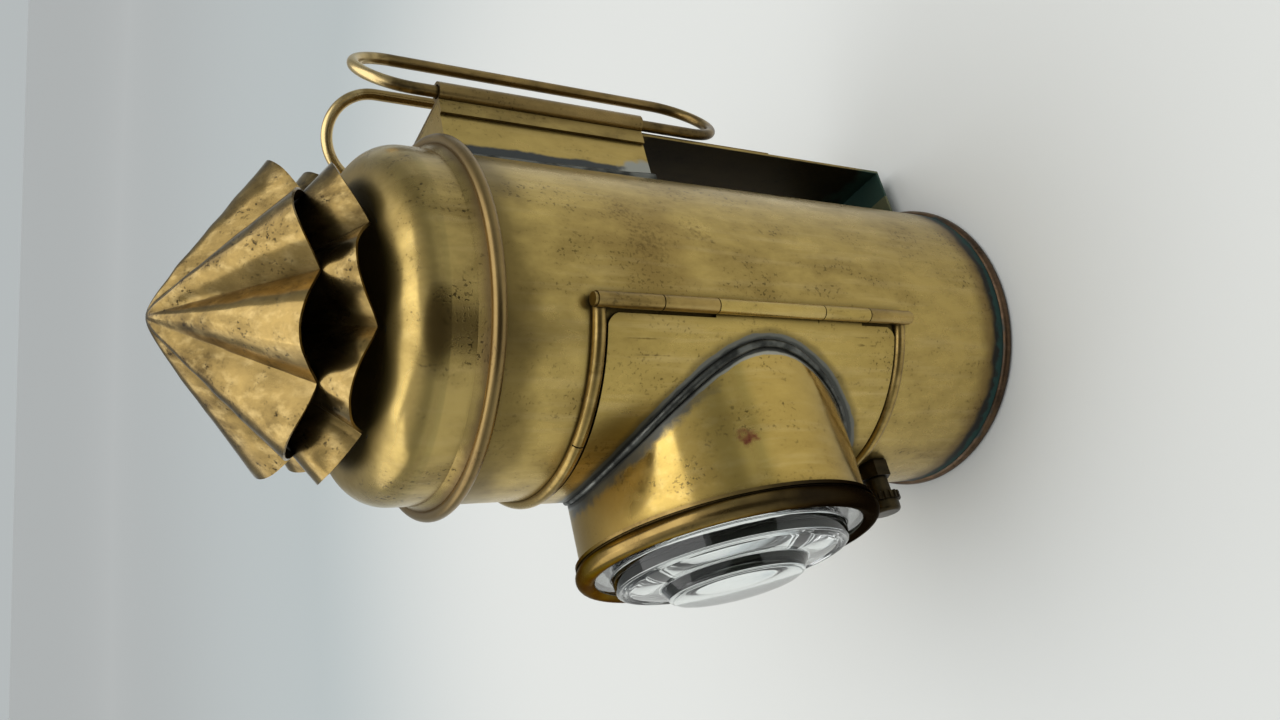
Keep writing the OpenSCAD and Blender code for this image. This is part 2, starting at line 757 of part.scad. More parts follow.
// Spun dome with a flared and wired lower edge
module cap_dome() {
    flare_z = cap_bead_z + 4;
    color("#b3914c") rotate_extrude() difference() {
        union() {
            difference() {
                dome_outline(0);
                dome_outline(cap_wall);
                square([flue_r + solder_gap, crown_z + shoulder_r]);
                square([cap_r + 1, flare_z]);
            }
            polygon([[cap_in, flare_z + eps], [cap_in, flare_z - 0.6], [cap_bead_mid - 1.3, cap_bead_z + 0.7],
                [cap_bead_mid - 0.7, cap_bead_z + 1.2], [cap_r, flare_z - 0.3], [cap_r, flare_z + eps]]);
            translate([cap_bead_mid, cap_bead_z]) circle(r = cap_bead_r, $fn = 48);
        }
        translate([cap_bead_mid, cap_bead_z]) circle(r = wire_r + solder_gap, $fn = 48);
    }
}

// Filled outline of the dome, drawn in by a distance
module dome_outline(inset) {
    square([cap_r - inset, shoulder_z]);
    square([crown_r, crown_z - inset]);
    translate([crown_r, shoulder_z]) circle(r = shoulder_r - inset, $fn = 96);
    polygon([[0, crown_z - inset - 1], [crown_r, crown_z - inset - 1], [crown_r, crown_z - inset],
        [0, crown_z - inset + crown_r * tan(crown_slope)]]);
}

module cap_rim_wire() {
    color("#7a5c30") rotate_extrude() translate([cap_bead_mid, cap_bead_z]) circle(r = wire_r, $fn = 40);
}

module flue_tube() {
    top = dome_top(flue_r);
    color("#6d5834") ring(flue_in, flue_r, top - flue_down, top + flue_up);
}

// One cone for the troughs, with its point at the origin, and one leaning cone for each flute
module flute_block(crest, valley, slant, trough, cut) {
    lean = flute_lean(crest, valley, 180 / flutes - trough);
    half = crest - lean;
    deep = slant * 1.1;
    rotate([180, 0, 0]) translate([0, 0, cut])
        cylinder(r1 = cut * tan(valley), r2 = deep * tan(valley), h = deep - cut);
    for (k = [0 : flutes - 1])
        rotate([0, 180 - lean, k * 360 / flutes]) translate([0, 0, flute_start])
            cylinder(r1 = flute_taper * flute_start * tan(half), r2 = deep * tan(half), h = deep - flute_start);
}

// Crimped disc: equal slant everywhere, so the crests end higher and farther out than the valleys
module fluted_tier(crest, valley, slant, trough, cut) {
    difference() {
        intersection() {
            flute_block(crest, valley, slant, trough, cut);
            sphere(r = slant);
        }
        translate([0, 0, -tier_wall / sin(valley)]) flute_block(crest, valley, slant, trough, cut);
    }
}

module chimney_lower_tier() {
    color("#a88640") difference() {
        translate([0, 0, lower_apex]) rotate([0, 0, flute_turn])
            fluted_tier(lower_crest, lower_valley, lower_slant, lower_trough, flute_start * 0.8);
        cylinder(r = flue_r + seat_gap, h = lower_apex + 1);
    }
}

module chimney_upper_tier() {
    color("#b08e46") translate([0, 0, upper_apex]) rotate([0, 0, flute_turn + 180 / flutes])
        fluted_tier(upper_crest, upper_valley, upper_slant, upper_trough, top_cut);
}

// Solder beads on the dome at the foot of each lower valley
module chimney_solder() {
    half = sqrt(blob_r * blob_r - (blob_r - blob_h) * (blob_r - blob_h));
    out = lower_edge_r + half + 2 * seat_gap;
    color("#85868a") difference() {
        for (k = [0 : flutes - 1]) rotate([0, 0, flute_turn + (k + 0.5) * 360 / flutes])
            translate([out, 0, dome_top(out) + blob_h - blob_r]) sphere(r = blob_r, $fn = 160);
        rotate_extrude($fn = 240) dome_outline(-solder_gap);
    }
}

// Drum under the cap: one open window in front and one behind each pane
module filter_drum() {
    flange_z = body_top + run_gap;
    ledge = 1.2;
    collar_h = 6;
    color("#5d4f33") difference() {
        union() {
            ring(drum_in, drum_r, drum_low, flange_z + cap_wall);
            ring(drum_in, body_r - fit_gap, flange_z, flange_z + cap_wall);
            ring(cap_in - fit_gap - drum_wall, cap_in - fit_gap, flange_z, flange_z + collar_h);
            for (z = [pane_low - solder_gap - ledge, pane_high + solder_gap])
                ring(pane_in, drum_in + eps, z, z + ledge);
        }
        for (k = [0 : 2]) sector(drum_in - 2 * eps, drum_r + 1, window_low, window_high,
            k * window_turn - window_angle / 2, k * window_turn + window_angle / 2);
    }
}

module pane(turn) {
    sector(pane_in, pane_out, pane_low, pane_high, turn - pane_angle / 2, turn + pane_angle / 2);
}

module red_pane() {
    color("#b3261e", 0.7) pane(window_turn);
}

module green_pane() {
    color("#1f7a4d", 0.7) pane(2 * window_turn);
}

module oil_reservoir() {
    color("#9a7c41") difference() {
        rotate_extrude() difference() {
            tank_outline(0);
            tank_outline(tank_wall);
            square([neck_r, tank_top + 1]);
        }
        translate([filler_x, filler_y, tank_top - 2 * tank_edge])
            cylinder(r = filler_r - filler_lip, h = 3 * tank_edge, $fn = 48);
    }
    color("#9a7c41") ring_floor();
}

// Floor of the reservoir inside its neck's radius
module ring_floor() {
    translate([0, 0, tank_low]) cylinder(r = neck_r + eps, h = tank_wall);
}

module tank_outline(inset) {
    translate([0, tank_low + inset]) square([tank_r - inset, tank_top - tank_edge - tank_low - inset]);
    translate([0, tank_low + inset]) square([tank_r - tank_edge, tank_top - tank_low - 2 * inset]);
    translate([tank_r - tank_edge, tank_top - tank_edge]) circle(r = tank_edge - inset, $fn = 40);
}

module filler_cap() {
    plug_r = filler_r - filler_lip - fit_gap;
    grips = 18;
    grip_r = 0.6;
    color("#86693a") translate([filler_x, filler_y, tank_top + solder_gap]) difference() {
        union() {
            cylinder(r = filler_r, h = filler_h, $fn = 64);
            translate([0, 0, -filler_h / 2]) cylinder(r = plug_r, h = filler_h, $fn = 48);
        }
        for (k = [0 : grips - 1]) rotate([0, 0, k * 360 / grips])
            translate([filler_r, 0, -eps]) cylinder(r = grip_r, h = filler_h + 1, $fn = 24);
    }
}

// Collar on the neck, with two ears that carry the winder shaft
module burner_collar() {
    collar_r = neck_r + 3;
    slot_x = wick_tube_x + wick_wall + fit_gap;
    slot_y = wick_tube_y + wick_wall + fit_gap;
    color("#a58545") difference() {
        union() {
            translate([0, 0, collar_low]) cylinder(r = collar_r, h = collar_top - collar_low);
            for (s = [-1, 1]) translate([winder_x - 2.2, s * ear_y - ear_t / 2, collar_low])
                cube([4.4, ear_t, winder_z + 2.4 - collar_low]);
        }
        translate([-slot_x, -slot_y, collar_low - 1]) cube([2 * slot_x, 2 * slot_y, burner_top]);
        translate([winder_x, ear_y + ear_t, winder_z]) rotate([90, 0, 0])
            cylinder(r = bush_bore, h = 2 * (ear_y + ear_t), $fn = 40);
    }
}

module wick_tube() {
    low = collar_low - 4;
    color("#977a40") translate([0, 0, low]) difference() {
        translate([-wick_tube_x - wick_wall, -wick_tube_y - wick_wall, 0])
            cube([2 * (wick_tube_x + wick_wall), 2 * (wick_tube_y + wick_wall), burner_top - low]);
        translate([-wick_tube_x, -wick_tube_y, -eps])
            cube([2 * wick_tube_x, 2 * wick_tube_y, burner_top - low + 2 * eps]);
        translate([wick_tube_x - eps, -wick_tube_y, winder_z - spur_r - run_gap - low])
            cube([2, 2 * wick_tube_y, 2 * (spur_r + run_gap)]);
    }
}

module wick() {
    low = tank_low + wick_low;
    color("#d9d2bd") translate([-wick_t / 2, -wick_w / 2, low])
        cube([wick_t, wick_w, burner_top + wick_up - low]);
}

module winder_shaft() {
    back = ear_y + ear_t;
    color("#8c7340") translate([winder_x, back, winder_z]) rotate([90, 0, 0])
        cylinder(r = winder_r, h = back + knob_y - knob_cap, $fn = 40);
}

// Star wheels that grip the wick through the window of its tube
module spur_wheels() {
    root = spur_r - 0.8;
    color("#b89a58") for (s = [-1, 1]) translate([winder_x, s * spur_y + spur_t / 2, winder_z])
        rotate([90, 0, 0]) linear_extrude(spur_t) difference() {
            polygon([for (i = [0 : 2 * spur_teeth - 1])
                (i % 2 == 0 ? spur_r : root) * [cos(i * 180 / spur_teeth), sin(i * 180 / spur_teeth)]]);
            circle(r = winder_r + solder_gap, $fn = 40);
        }
}

// Stepped knob: shank, ribbed disc and rounded boss
module winder_knob() {
    boss_r = shank_d / 2 + 1.1;
    round_r = 1.2;
    rib_r = 0.5;
    color("#4f4830") translate([winder_x, 0, winder_z]) rotate([90, 0, 0]) difference() {
        rotate_extrude() {
            translate([0, knob_in]) square([shank_d / 2, knob_y - knob_in - round_r]);
            translate([0, disc_y - disc_t / 2]) square([disc_d / 2, disc_t]);
            translate([0, disc_y]) square([boss_r, knob_y - disc_y - round_r]);
            translate([0, disc_y]) square([boss_r - round_r, knob_y - disc_y]);
            translate([boss_r - round_r, knob_y - round_r]) circle(r = round_r, $fn = 32);
        }
        for (k = [0 : knob_ribs - 1]) rotate([0, 0, k * 360 / knob_ribs])
            translate([disc_d / 2, 0, disc_y - disc_t]) cylinder(r = rib_r, h = 2 * disc_t, $fn = 16);
        translate([0, 0, knob_in - eps])
            cylinder(r = winder_r + solder_gap, h = knob_y - knob_cap - knob_in + solder_gap, $fn = 40);
    }
}

// Dished reflector behind the flame, facing the lens
module reflector() {
    color("#c9ccd0") translate([0, mirror_y - mirror_curve, mirror_z]) intersection() {
        difference() {
            sphere(r = mirror_curve, $fn = 128);
            sphere(r = mirror_curve - mirror_t, $fn = 128);
        }
        rotate([-90, 0, 0]) cylinder(d = mirror_d, h = mirror_curve + 1);
    }
}

module reflector_bracket() {
    strip_t = 0.9;
    foot = 9;
    y0 = mirror_y + solder_gap;
    color("#8a6f3c") {
        translate([-bracket_w / 2, y0, tank_top + solder_gap])
            cube([bracket_w, strip_t, mirror_z + 4 - tank_top]);
        translate([-bracket_w / 2, y0 - foot, tank_top + solder_gap]) cube([bracket_w, foot + eps, strip_t]);
    }
}

body_shell();
base_plate();
door_frame_bead();
frame_knuckles();
hinge_pin();
catch_leaf();
back_box();
box_solder_seams();
back_strap();
handle_plate();
winder_bush();
door_panel();
door_pull();
lens_tube();
lens_solder_seam();
lens_bezel();
lens_glass();
lens_ring();
cap_dome();
cap_rim_wire();
flue_tube();
chimney_lower_tier();
chimney_upper_tier();
chimney_solder();
filter_drum();
red_pane();
green_pane();
hinge_side_handle();
catch_side_handle();
oil_reservoir();
filler_cap();
burner_collar();
wick_tube();
wick();
winder_shaft();
spur_wheels();
winder_knob();
reflector();
reflector_bracket();
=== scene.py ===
# %% [markdown]
# A boat signal lantern in aged sheet brass.
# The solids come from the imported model, in metres, each at its own place.
# This lesson dresses them: it gives every piece its finish, models the soft and the hand-made pieces that a
# solid modeller leaves plain, and sets up the floor, the light and the camera.

# %% Load the frame and keep its box
import math

import bmesh
import bpy
from mathutils import Matrix, Vector, noise


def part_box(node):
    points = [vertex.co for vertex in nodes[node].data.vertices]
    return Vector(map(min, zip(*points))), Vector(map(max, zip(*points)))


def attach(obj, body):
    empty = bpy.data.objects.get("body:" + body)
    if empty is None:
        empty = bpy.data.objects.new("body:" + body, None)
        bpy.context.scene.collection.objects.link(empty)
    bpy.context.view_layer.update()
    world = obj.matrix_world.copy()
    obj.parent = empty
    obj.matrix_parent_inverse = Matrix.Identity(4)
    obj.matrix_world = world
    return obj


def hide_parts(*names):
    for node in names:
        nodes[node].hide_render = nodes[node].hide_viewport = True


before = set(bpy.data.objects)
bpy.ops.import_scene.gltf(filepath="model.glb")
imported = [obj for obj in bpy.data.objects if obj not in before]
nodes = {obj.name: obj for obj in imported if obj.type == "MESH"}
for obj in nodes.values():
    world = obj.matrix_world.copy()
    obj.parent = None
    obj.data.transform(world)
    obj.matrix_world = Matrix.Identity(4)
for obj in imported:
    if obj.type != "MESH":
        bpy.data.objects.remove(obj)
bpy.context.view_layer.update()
MM = 0.001

# %% [markdown]
# The lantern was photographed from its upper right, close by, with the camera held on its side.
# So the camera is placed by an azimuth, a height angle and a distance from a point on the lantern, and is
# then rolled by a quarter turn and a small tilt.

# %% Camera at the photograph's place
CAMERA_AZIMUTH = math.radians(61.71)
CAMERA_HEIGHT = math.radians(31.66)
CAMERA_DISTANCE = 293.76 * MM
TARGET_ASIDE = -6.38 * MM
TARGET_UP = 101.07 * MM
CAMERA_ROLL = math.radians(1.59)
FOCAL_PIXELS = 1050.51
PICTURE_WIDTH = 1280
SENSOR_WIDTH = 36.0
NEAR_CLIP = 0.01
TOWARD_CAMERA = Vector((math.sin(CAMERA_AZIMUTH) * math.cos(CAMERA_HEIGHT),
                        -math.cos(CAMERA_AZIMUTH) * math.cos(CAMERA_HEIGHT),
                        math.sin(CAMERA_HEIGHT)))


def photograph_camera():
    """Makes the camera, with the lantern's top toward the left of the picture."""
    aside = Vector((math.cos(CAMERA_AZIMUTH), math.sin(CAMERA_AZIMUTH), 0))
    target = aside * TARGET_ASIDE + Vector((0, 0, TARGET_UP))
    upright = Matrix((aside, TOWARD_CAMERA.cross(aside), TOWARD_CAMERA)).transposed()
    turned = upright @ Matrix.Rotation(CAMERA_ROLL - math.pi / 2, 3, "Z")
    data = bpy.data.cameras.new("photograph_camera")
    data.sensor_width = SENSOR_WIDTH
    data.lens = FOCAL_PIXELS / PICTURE_WIDTH * SENSOR_WIDTH
    data.clip_start = NEAR_CLIP
    camera = bpy.data.objects.new("photograph_camera", data)
    camera.matrix_world = Matrix.Translation(target + TOWARD_CAMERA * CAMERA_DISTANCE) @ turned.to_4x4()
    bpy.context.scene.collection.objects.link(camera)
    bpy.context.scene.camera = camera
    return camera


camera = photograph_camera()
print("camera at", [round(x, 4) for x in camera.location], "lens", round(camera.data.lens, 2))

# %% [markdown]
# Colours are written as the hex values that a colour picker shows.
# The shader works with linear light, so one function turns a hex value into a linear colour.
# One small function links a node's inputs, and one more adds a node with its settings and its links. They
# build every material.

# %% Colour and node helpers


def linear(hex_colour):
    """Linear RGBA of an sRGB hex colour such as "#b08d4a"."""
    channels = [int(hex_colour[i:i + 2], 16) / 255 for i in (1, 3, 5)]
    return [c / 12.92 if c <= 0.04045 else ((c + 0.055) / 1.055) ** 2.4 for c in channels] + [1.0]


def feed(node, links):
    """Links each named input of a node to the output that feeds it."""
    for name, source in links.items():
        node.id_data.links.new(source, node.inputs[name])


def add_node(tree, kind, settings=None, links=None):
    """Adds one shader node to a tree, with its settings and the outputs that feed it."""
    node = tree.nodes.new("ShaderNode" + kind)
    for name, value in (settings or {}).items():
        if isinstance(name, int) or name in node.inputs:
            node.inputs[name].default_value = value
        else:
            setattr(node, name, value)
    feed(node, links or {})
    return node


def new_material(name):
    """An empty material: its tree, its shader and its Object coordinates."""
    material = bpy.data.materials.new(name)
    material.use_nodes = True
    tree = material.node_tree
    tree.nodes.clear()
    shader = add_node(tree, "BsdfPrincipled", {"name": "finish"})
    add_node(tree, "OutputMaterial", links={"Surface": shader.outputs["BSDF"]})
    place = add_node(tree, "TexCoord", {"name": "place"}).outputs["Object"]
    return material, tree, shader, place


print("brass test colour, linear:", [round(c, 3) for c in linear("#b08d4a")])

# %% [markdown]
# Aged brass is sheet that was once polished and has since been handled, wiped and left in damp air.
# The eye sees four things: broad clouds of brown tarnish, fine streaks along the way it was wiped, small
# dark pits in groups, and grime beside beads and in corners, which here also paints the shade that falls
# there.
# The sheet is also never quite true, so a slight wave in the surface bends what it reflects.
# An image of worn metal would stretch and show seams. Noise on Object coordinates has none, and its grain
# keeps its real size on every piece.
# All brass pieces share this recipe, and each gets its own colours, gloss and amount of tarnish.

# %% Recipe of aged brass
CLOUD_SIZE = 34 * MM
CLOUD_STRETCH = (1, 1, 0.55)
BLOTCH_SIZE = 9 * MM
STREAK_WIDTH = 2.6 * MM
STREAK_STRETCH = (1, 1, 0.15)
PIT_SIZE = 0.9 * MM
PIT_DEEP = 0.02 * MM
WAVE_SIZE = 26 * MM
GRAIN_SIZE = 0.35 * MM
GRAIN_DEEP = 0.004 * MM
CORNER_SHADE_REACH = 3.5 * MM
GRIME_AND_SHADE_COLOUR = "#241c10"


def aged_brass(name, base, tarnish, shine, roughness, tarnish_share, streak_share, pit_share, seed,
               wave=0.12, grime_and_shade_share=0.85, cloud_reach=(0.17, 0.38), blotch_size=BLOTCH_SIZE,
               corner_shade_reach=CORNER_SHADE_REACH):
    """Brass with clouds of tarnish, wiping streaks, pits, and grime with painted shade in its corners."""
    material, tree, shader, place = new_material(name)
    moved = add_node(tree, "Mapping",
                     {"Location": (seed, seed * 0.7, -seed), "Scale": CLOUD_STRETCH}, {"Vector": place})
    cloud = add_node(tree, "TexNoise", {"Scale": 1 / CLOUD_SIZE, "Detail": 6, "Roughness": 0.6},
                     {"Vector": moved.outputs[0]})
    blotch = add_node(tree, "TexNoise", {"Scale": 1 / blotch_size, "Detail": 8, "Roughness": 0.65},
                      {"Vector": moved.outputs[0]})
    along = add_node(tree, "Mapping", {"Scale": STREAK_STRETCH}, {"Vector": moved.outputs[0]})
    streak = add_node(tree, "TexNoise", {"Scale": 1 / STREAK_WIDTH, "Detail": 4, "Roughness": 0.6},
                      {"Vector": along.outputs[0]})
    pit = add_node(tree, "TexNoise", {"Scale": 1 / PIT_SIZE, "Detail": 2}, {"Vector": place})

    clouded = add_node(tree, "Math", {"operation": "MULTIPLY"},
                       {0: cloud.outputs["Fac"], 1: blotch.outputs["Fac"]})
    tarnished = add_node(tree, "MapRange",
                         {"From Min": cloud_reach[0], "From Max": cloud_reach[1], "To Max": tarnish_share},
                         {"Value": clouded.outputs[0]})
    stained = add_node(tree, "Mix",
                       {"data_type": "RGBA", 6: linear(base), 7: linear(tarnish)}, {0: tarnished.outputs[0]})
    wiped = add_node(tree, "MapRange",
                     {"From Min": 0.5, "From Max": 0.72, "To Min": 0.0, "To Max": streak_share},
                     {"Value": streak.outputs["Fac"]})
    streaked = add_node(tree, "Mix", {"data_type": "RGBA", 7: linear(shine)},
                        {0: wiped.outputs[0], 6: stained.outputs[2]})
    pit_group = add_node(tree, "MapRange",
                         {"From Min": 0.48, "From Max": 0.62, "To Min": 0.0, "To Max": pit_share},
                         {"Value": blotch.outputs["Fac"]})
    pit_spot = add_node(tree, "MapRange", {"From Min": 0.58, "From Max": 0.66},
                        {"Value": pit.outputs["Fac"]})
    pitted = add_node(tree, "Math", {"operation": "MULTIPLY"},
                      {0: pit_group.outputs[0], 1: pit_spot.outputs[0]})
    spotted = add_node(tree, "Mix", {"data_type": "RGBA", 7: linear(GRIME_AND_SHADE_COLOUR)},
                       {0: pitted.outputs[0], 6: streaked.outputs[2]})
    # Grime and painted shade: the colour darkens where nearby parts close the surface in.
    corner = add_node(tree, "AmbientOcclusion", {"samples": 8, "Distance": corner_shade_reach})
    uneven = add_node(tree, "Math", {"operation": "MULTIPLY_ADD", 1: 0.5},
                      {0: blotch.outputs["Fac"], 2: corner.outputs["AO"]})
    grime_and_shade_mask = add_node(tree, "MapRange",
                      {"From Min": 0.62, "From Max": 1.15, "To Min": grime_and_shade_share, "To Max": 0.0},
                      {"Value": uneven.outputs[0]})
    grimed_and_shaded = add_node(tree, "Mix", {"data_type": "RGBA", 7: linear(GRIME_AND_SHADE_COLOUR)},
                      {0: grime_and_shade_mask.outputs[0], 6: spotted.outputs[2]})

    dull = add_node(tree, "MapRange",
                    {"From Min": 0.1, "From Max": 0.42, "To Min": roughness - 0.06,
                     "To Max": roughness + 0.12}, {"Value": clouded.outputs[0]})
    dirt = add_node(tree, "Math", {"operation": "MULTIPLY_ADD", 1: 0.35, "use_clamp": True},
                    {0: grime_and_shade_mask.outputs[0], 2: dull.outputs[0]})

    swell = add_node(tree, "TexNoise", {"Scale": 1 / WAVE_SIZE, "Detail": 1},
                     {"Vector": moved.outputs[0]})
    grain = add_node(tree, "TexNoise", {"Scale": 1 / GRAIN_SIZE, "Detail": 3},
                     {"Vector": along.outputs[0]})
    waved = add_node(tree, "Bump", {"Strength": 1.0, "Distance": wave * MM},
                     {"Height": swell.outputs["Fac"]})
    grained = add_node(tree, "Bump", {"Strength": 0.5, "Distance": GRAIN_DEEP},
                       {"Height": grain.outputs["Fac"], "Normal": waved.outputs[0]})
    dented = add_node(tree, "Bump", {"Strength": 1.0, "Distance": PIT_DEEP, "invert": True},
                      {"Height": pitted.outputs[0], "Normal": grained.outputs[0]})

    shader.inputs["Metallic"].default_value = 1.0
    feed(shader, {"Base Color": grimed_and_shaded.outputs[2], "Roughness": dirt.outputs[0], "Normal": dented.outputs[0]})
    return material


print("clouds", round(CLOUD_SIZE / MM), "mm, blotches", round(BLOTCH_SIZE / MM), "mm")

# %% [markdown]
# The outer sheets were wiped now and then, so they are the brightest. The dome and the lens tube were spun
# or rolled smooth, so they wave less. The chimney's pleats catch smoke: their blotches are finer, and grime
# with painted shade reaches farther out of their valleys. The pan, the winder and the burner were never
# polished.

# %% Finishes of brass
PLEAT_BLOTCH_SIZE = 6 * MM
# Grime and painted shade reach this far out of the pleats' valleys.
PLEAT_CORNER_SHADE_REACH = 9.0 * MM
body_brass = aged_brass("aged_body_brass", "#c0a661", "#806a3a", "#d2ba82", roughness=0.27,
                        tarnish_share=0.7, streak_share=0.3, pit_share=0.55, seed=1.0)
door_brass = aged_brass("aged_door_brass", "#bea45d", "#836c39", "#d4bb80", roughness=0.27,
                        tarnish_share=0.6, streak_share=0.4, pit_share=0.55, seed=1.4)
box_brass = aged_brass("aged_box_brass", "#b39a5a", "#7c6838", "#c9b27a", roughness=0.3,
                       tarnish_share=0.7, streak_share=0.25, pit_share=0.5, seed=1.8)
bead_brass = aged_brass("worn_bead_brass", "#b4985a", "#6e5a32", "#cfb67e", roughness=0.28,
                        tarnish_share=0.8, streak_share=0.3, pit_share=0.4, seed=2.4)
dome_brass = aged_brass("spun_dome_brass", "#bda362", "#756035", "#d4ba82", roughness=0.22,
                        tarnish_share=0.8, streak_share=0.2, pit_share=0.8, seed=2.0, wave=0.05)
tube_brass = aged_brass("bright_tube_brass", "#c4a75c", "#8a6f36", "#d8bf80", roughness=0.13,
                        tarnish_share=0.5, streak_share=0.3, pit_share=0.6, seed=3.0, wave=0.06)
bezel_brass = aged_brass("rolled_bezel_brass", "#947b49", "#594629", "#ad945d", roughness=0.24,
                         tarnish_share=0.7, streak_share=0.2, pit_share=0.4, seed=3.6, wave=0.03)
crimped_brass = aged_brass("crimped_brass", "#9b824e", "#4b3d24", "#c6ad76", roughness=0.19,
                           tarnish_share=0.97, streak_share=0.4, pit_share=0.9, seed=4.0, wave=0.2,
                           grime_and_shade_share=0.9, cloud_reach=(0.13, 0.35), blotch_size=PLEAT_BLOTCH_SIZE,
                           corner_shade_reach=PLEAT_CORNER_SHADE_REACH)
wire_brass = aged_brass("handled_brass_wire", "#8f7648", "#463922", "#c2a76e", roughness=0.27,
                        tarnish_share=0.9, streak_share=0.3, pit_share=0.4, seed=5.0)
plate_brass = aged_brass("dull_brass_plate", "#8a7347", "#5a4a2b", "#a58d5a", roughness=0.27,
                         tarnish_share=0.75, streak_share=0.15, pit_share=0.6, seed=6.0)
strap_brass = aged_brass("dull_strap_brass", "#a58e54", "#6a5731", "#bfa870", roughness=0.34,
                         tarnish_share=0.9, streak_share=0.2, pit_share=0.5, seed=6.5)
pan_brass = aged_brass("base_pan_brass", "#6e5741", "#3d3229", "#a88670", roughness=0.32,
                       tarnish_share=0.95, streak_share=0.25, pit_share=0.5, seed=7.0)
bronze = aged_brass("dark_turned_bronze", "#463c29", "#211c13", "#6b5d3e", roughness=0.32,
                    tarnish_share=0.95, streak_share=0.2, pit_share=0.4, seed=8.0)
sooty_brass = aged_brass("sooty_inner_brass", "#75623c", "#3a2f1c", "#8c7848", roughness=0.45,
                         tarnish_share=0.95, streak_share=0.2, pit_share=0.4, seed=9.0)
silvered = aged_brass("silvered_reflector", "#d9d7d0", "#a8a08a", "#efeeea", roughness=0.12,
                      tarnish_share=0.5, streak_share=0.2, pit_share=0.3, seed=9.5, wave=0.04)
print("metal finishes:", len(bpy.data.materials))

# %% [markdown]
# Some marks have their own place: solder runs out beside a joint, soot lies on the inner faces, verdigris
# sits above the rim where water stood.
# A stain is limited by one or more distances. Each is measured from a point, and only the directions that
# count are measured, so one function gives a ring about an axis, a level band or a round spot. Noise makes
# the edge ragged.

# %% Stains
FLOAT_MIX = ("FLOAT", 2, 3, 0)
COLOUR_MIX = ("RGBA", 6, 7, 2)


def distance(material, point, directions):
    """Distance in metres from a point in mm. Only the given directions count."""
    tree = material.node_tree
    place = tree.nodes["place"].outputs["Object"]
    apart = add_node(tree, "VectorMath", {"operation": "SUBTRACT", 1: [p * MM for p in point]},
                     {0: place})
    counted = add_node(tree, "VectorMath", {"operation": "MULTIPLY", 1: directions},
                       {0: apart.outputs[0]})
    length = add_node(tree, "VectorMath", {"operation": "LENGTH"}, {0: counted.outputs[0]})
    return length.outputs["Value"]


def stain(material, colour, roughness, limits, ragged=0.0, patch=4.0, share=1.0):
    """Covers a finish. Each limit is a distance, how far the cover is full and where it is gone, in mm."""
    tree = material.node_tree
    shader = tree.nodes["finish"]
    place = tree.nodes["place"].outputs["Object"]
    edge = add_node(tree, "TexNoise", {"Scale": 1 / (patch * MM), "Detail": 3, "Roughness": 0.5},
                    {"Vector": place})
    cover = None
    for reach, full, gone in limits:
        moved = add_node(tree, "Math", {"operation": "MULTIPLY_ADD", 1: 2 * ragged * MM},
                         {0: edge.outputs["Fac"], 2: reach})
        mask = add_node(tree, "MapRange",
                        {"interpolation_type": "SMOOTHSTEP", "From Min": (full + ragged) * MM,
                         "From Max": (gone + ragged) * MM, "To Min": share, "To Max": 0.0},
                        {"Value": moved.outputs[0]}).outputs[0]
        cover = mask if cover is None else add_node(tree, "Math", {"operation": "MINIMUM"},
                                                    {0: cover, 1: mask}).outputs[0]
    for name, value, (kind, below, above, result) in (("Base Color", linear(colour), COLOUR_MIX),
                                                      ("Roughness", roughness, FLOAT_MIX)):
        source = shader.inputs[name].links[0].from_socket
        mix = add_node(tree, "Mix", {"data_type": kind, above: value}, {0: cover, below: source})
        feed(shader, {name: mix.outputs[result]})


ROUND_UPRIGHT = (1, 1, 0)
ROUND_LENS = (1, 0, 1)
DEEP = (0, 1, 0)
LEVEL = (0, 0, 1)
ALL_WAYS = (1, 1, 1)
LENS_HEIGHT = 90.8
TUBE_RADIUS = 38.5
DOOR_RADIUS = 44.7
BODY_RADIUS = 43.7
LENS_POINT = (0, 0, LENS_HEIGHT)
ORIGIN = (0, 0, 0)
SOOT = "#241c14"
print("stains are measured from the body's axis and from the lens's axis, at a height of", LENS_HEIGHT, "mm")

# %% [markdown]
# The body is brown below the cap's bead, nearly black above the rim, with verdigris in the angle, and pitted
# in one place beside the hinge. The rim itself is worn to a dull copper.

# %% Stains of the body and the base
BELOW_CAP = (0, 0, 161)
PAN_SEAM = (0, 0, 4.5)
PIT_SPOTS = [((43.7, 1.8, 122.4), 8), ((42.4, 10.5, 128), 6), ((43.2, 6.4, 108), 5)]
upright = distance(body_brass, ORIGIN, ROUND_UPRIGHT)
foot = distance(body_brass, ORIGIN, LEVEL)
stain(body_brass, "#5c4c2a", 0.4, [(distance(body_brass, BELOW_CAP, LEVEL), 1, 12)],
      ragged=6, patch=9, share=0.7)
stain(body_brass, "#83693a", 0.34, [(distance(body_brass, PIT_SPOTS[0][0], ALL_WAYS), 2, 22)],
      ragged=14, patch=9, share=0.4)
for point, gone in PIT_SPOTS:
    stain(body_brass, "#64502c", 0.45, [(distance(body_brass, point, ALL_WAYS), -9, gone)],
          ragged=15, patch=1.0, share=0.75)
stain(body_brass, "#6a5433", 0.4, [(foot, 8, 14)], ragged=4, patch=10, share=0.7)
stain(body_brass, "#25282a", 0.45, [(foot, 6, 9)], ragged=2.6, patch=9, share=0.95)
stain(body_brass, "#3f6864", 0.7, [(foot, 4.2, 6)], ragged=2.6, patch=3, share=0.55)
stain(body_brass, SOOT, 0.75, [(upright, BODY_RADIUS - 0.6, BODY_RADIUS - 0.3)])
stain(pan_brass, "#33474a", 0.6, [(distance(pan_brass, PAN_SEAM, LEVEL), 0.6, 1.8)],
      ragged=1.4, patch=5, share=0.8)
print("stained:", body_brass.name, pan_brass.name)

# %% [markdown]
# Solder tinned the door and the tube beside the saddle: dark grey next to the bead, and a paler edge where
# it ran thin. The saddle lies where the door's cylinder is, so the band on the tube is measured from there
# along the lens. The band on the door is measured from the tube, along the bent sheet, so that it has the
# same width all round.

# %% Distances from the saddle


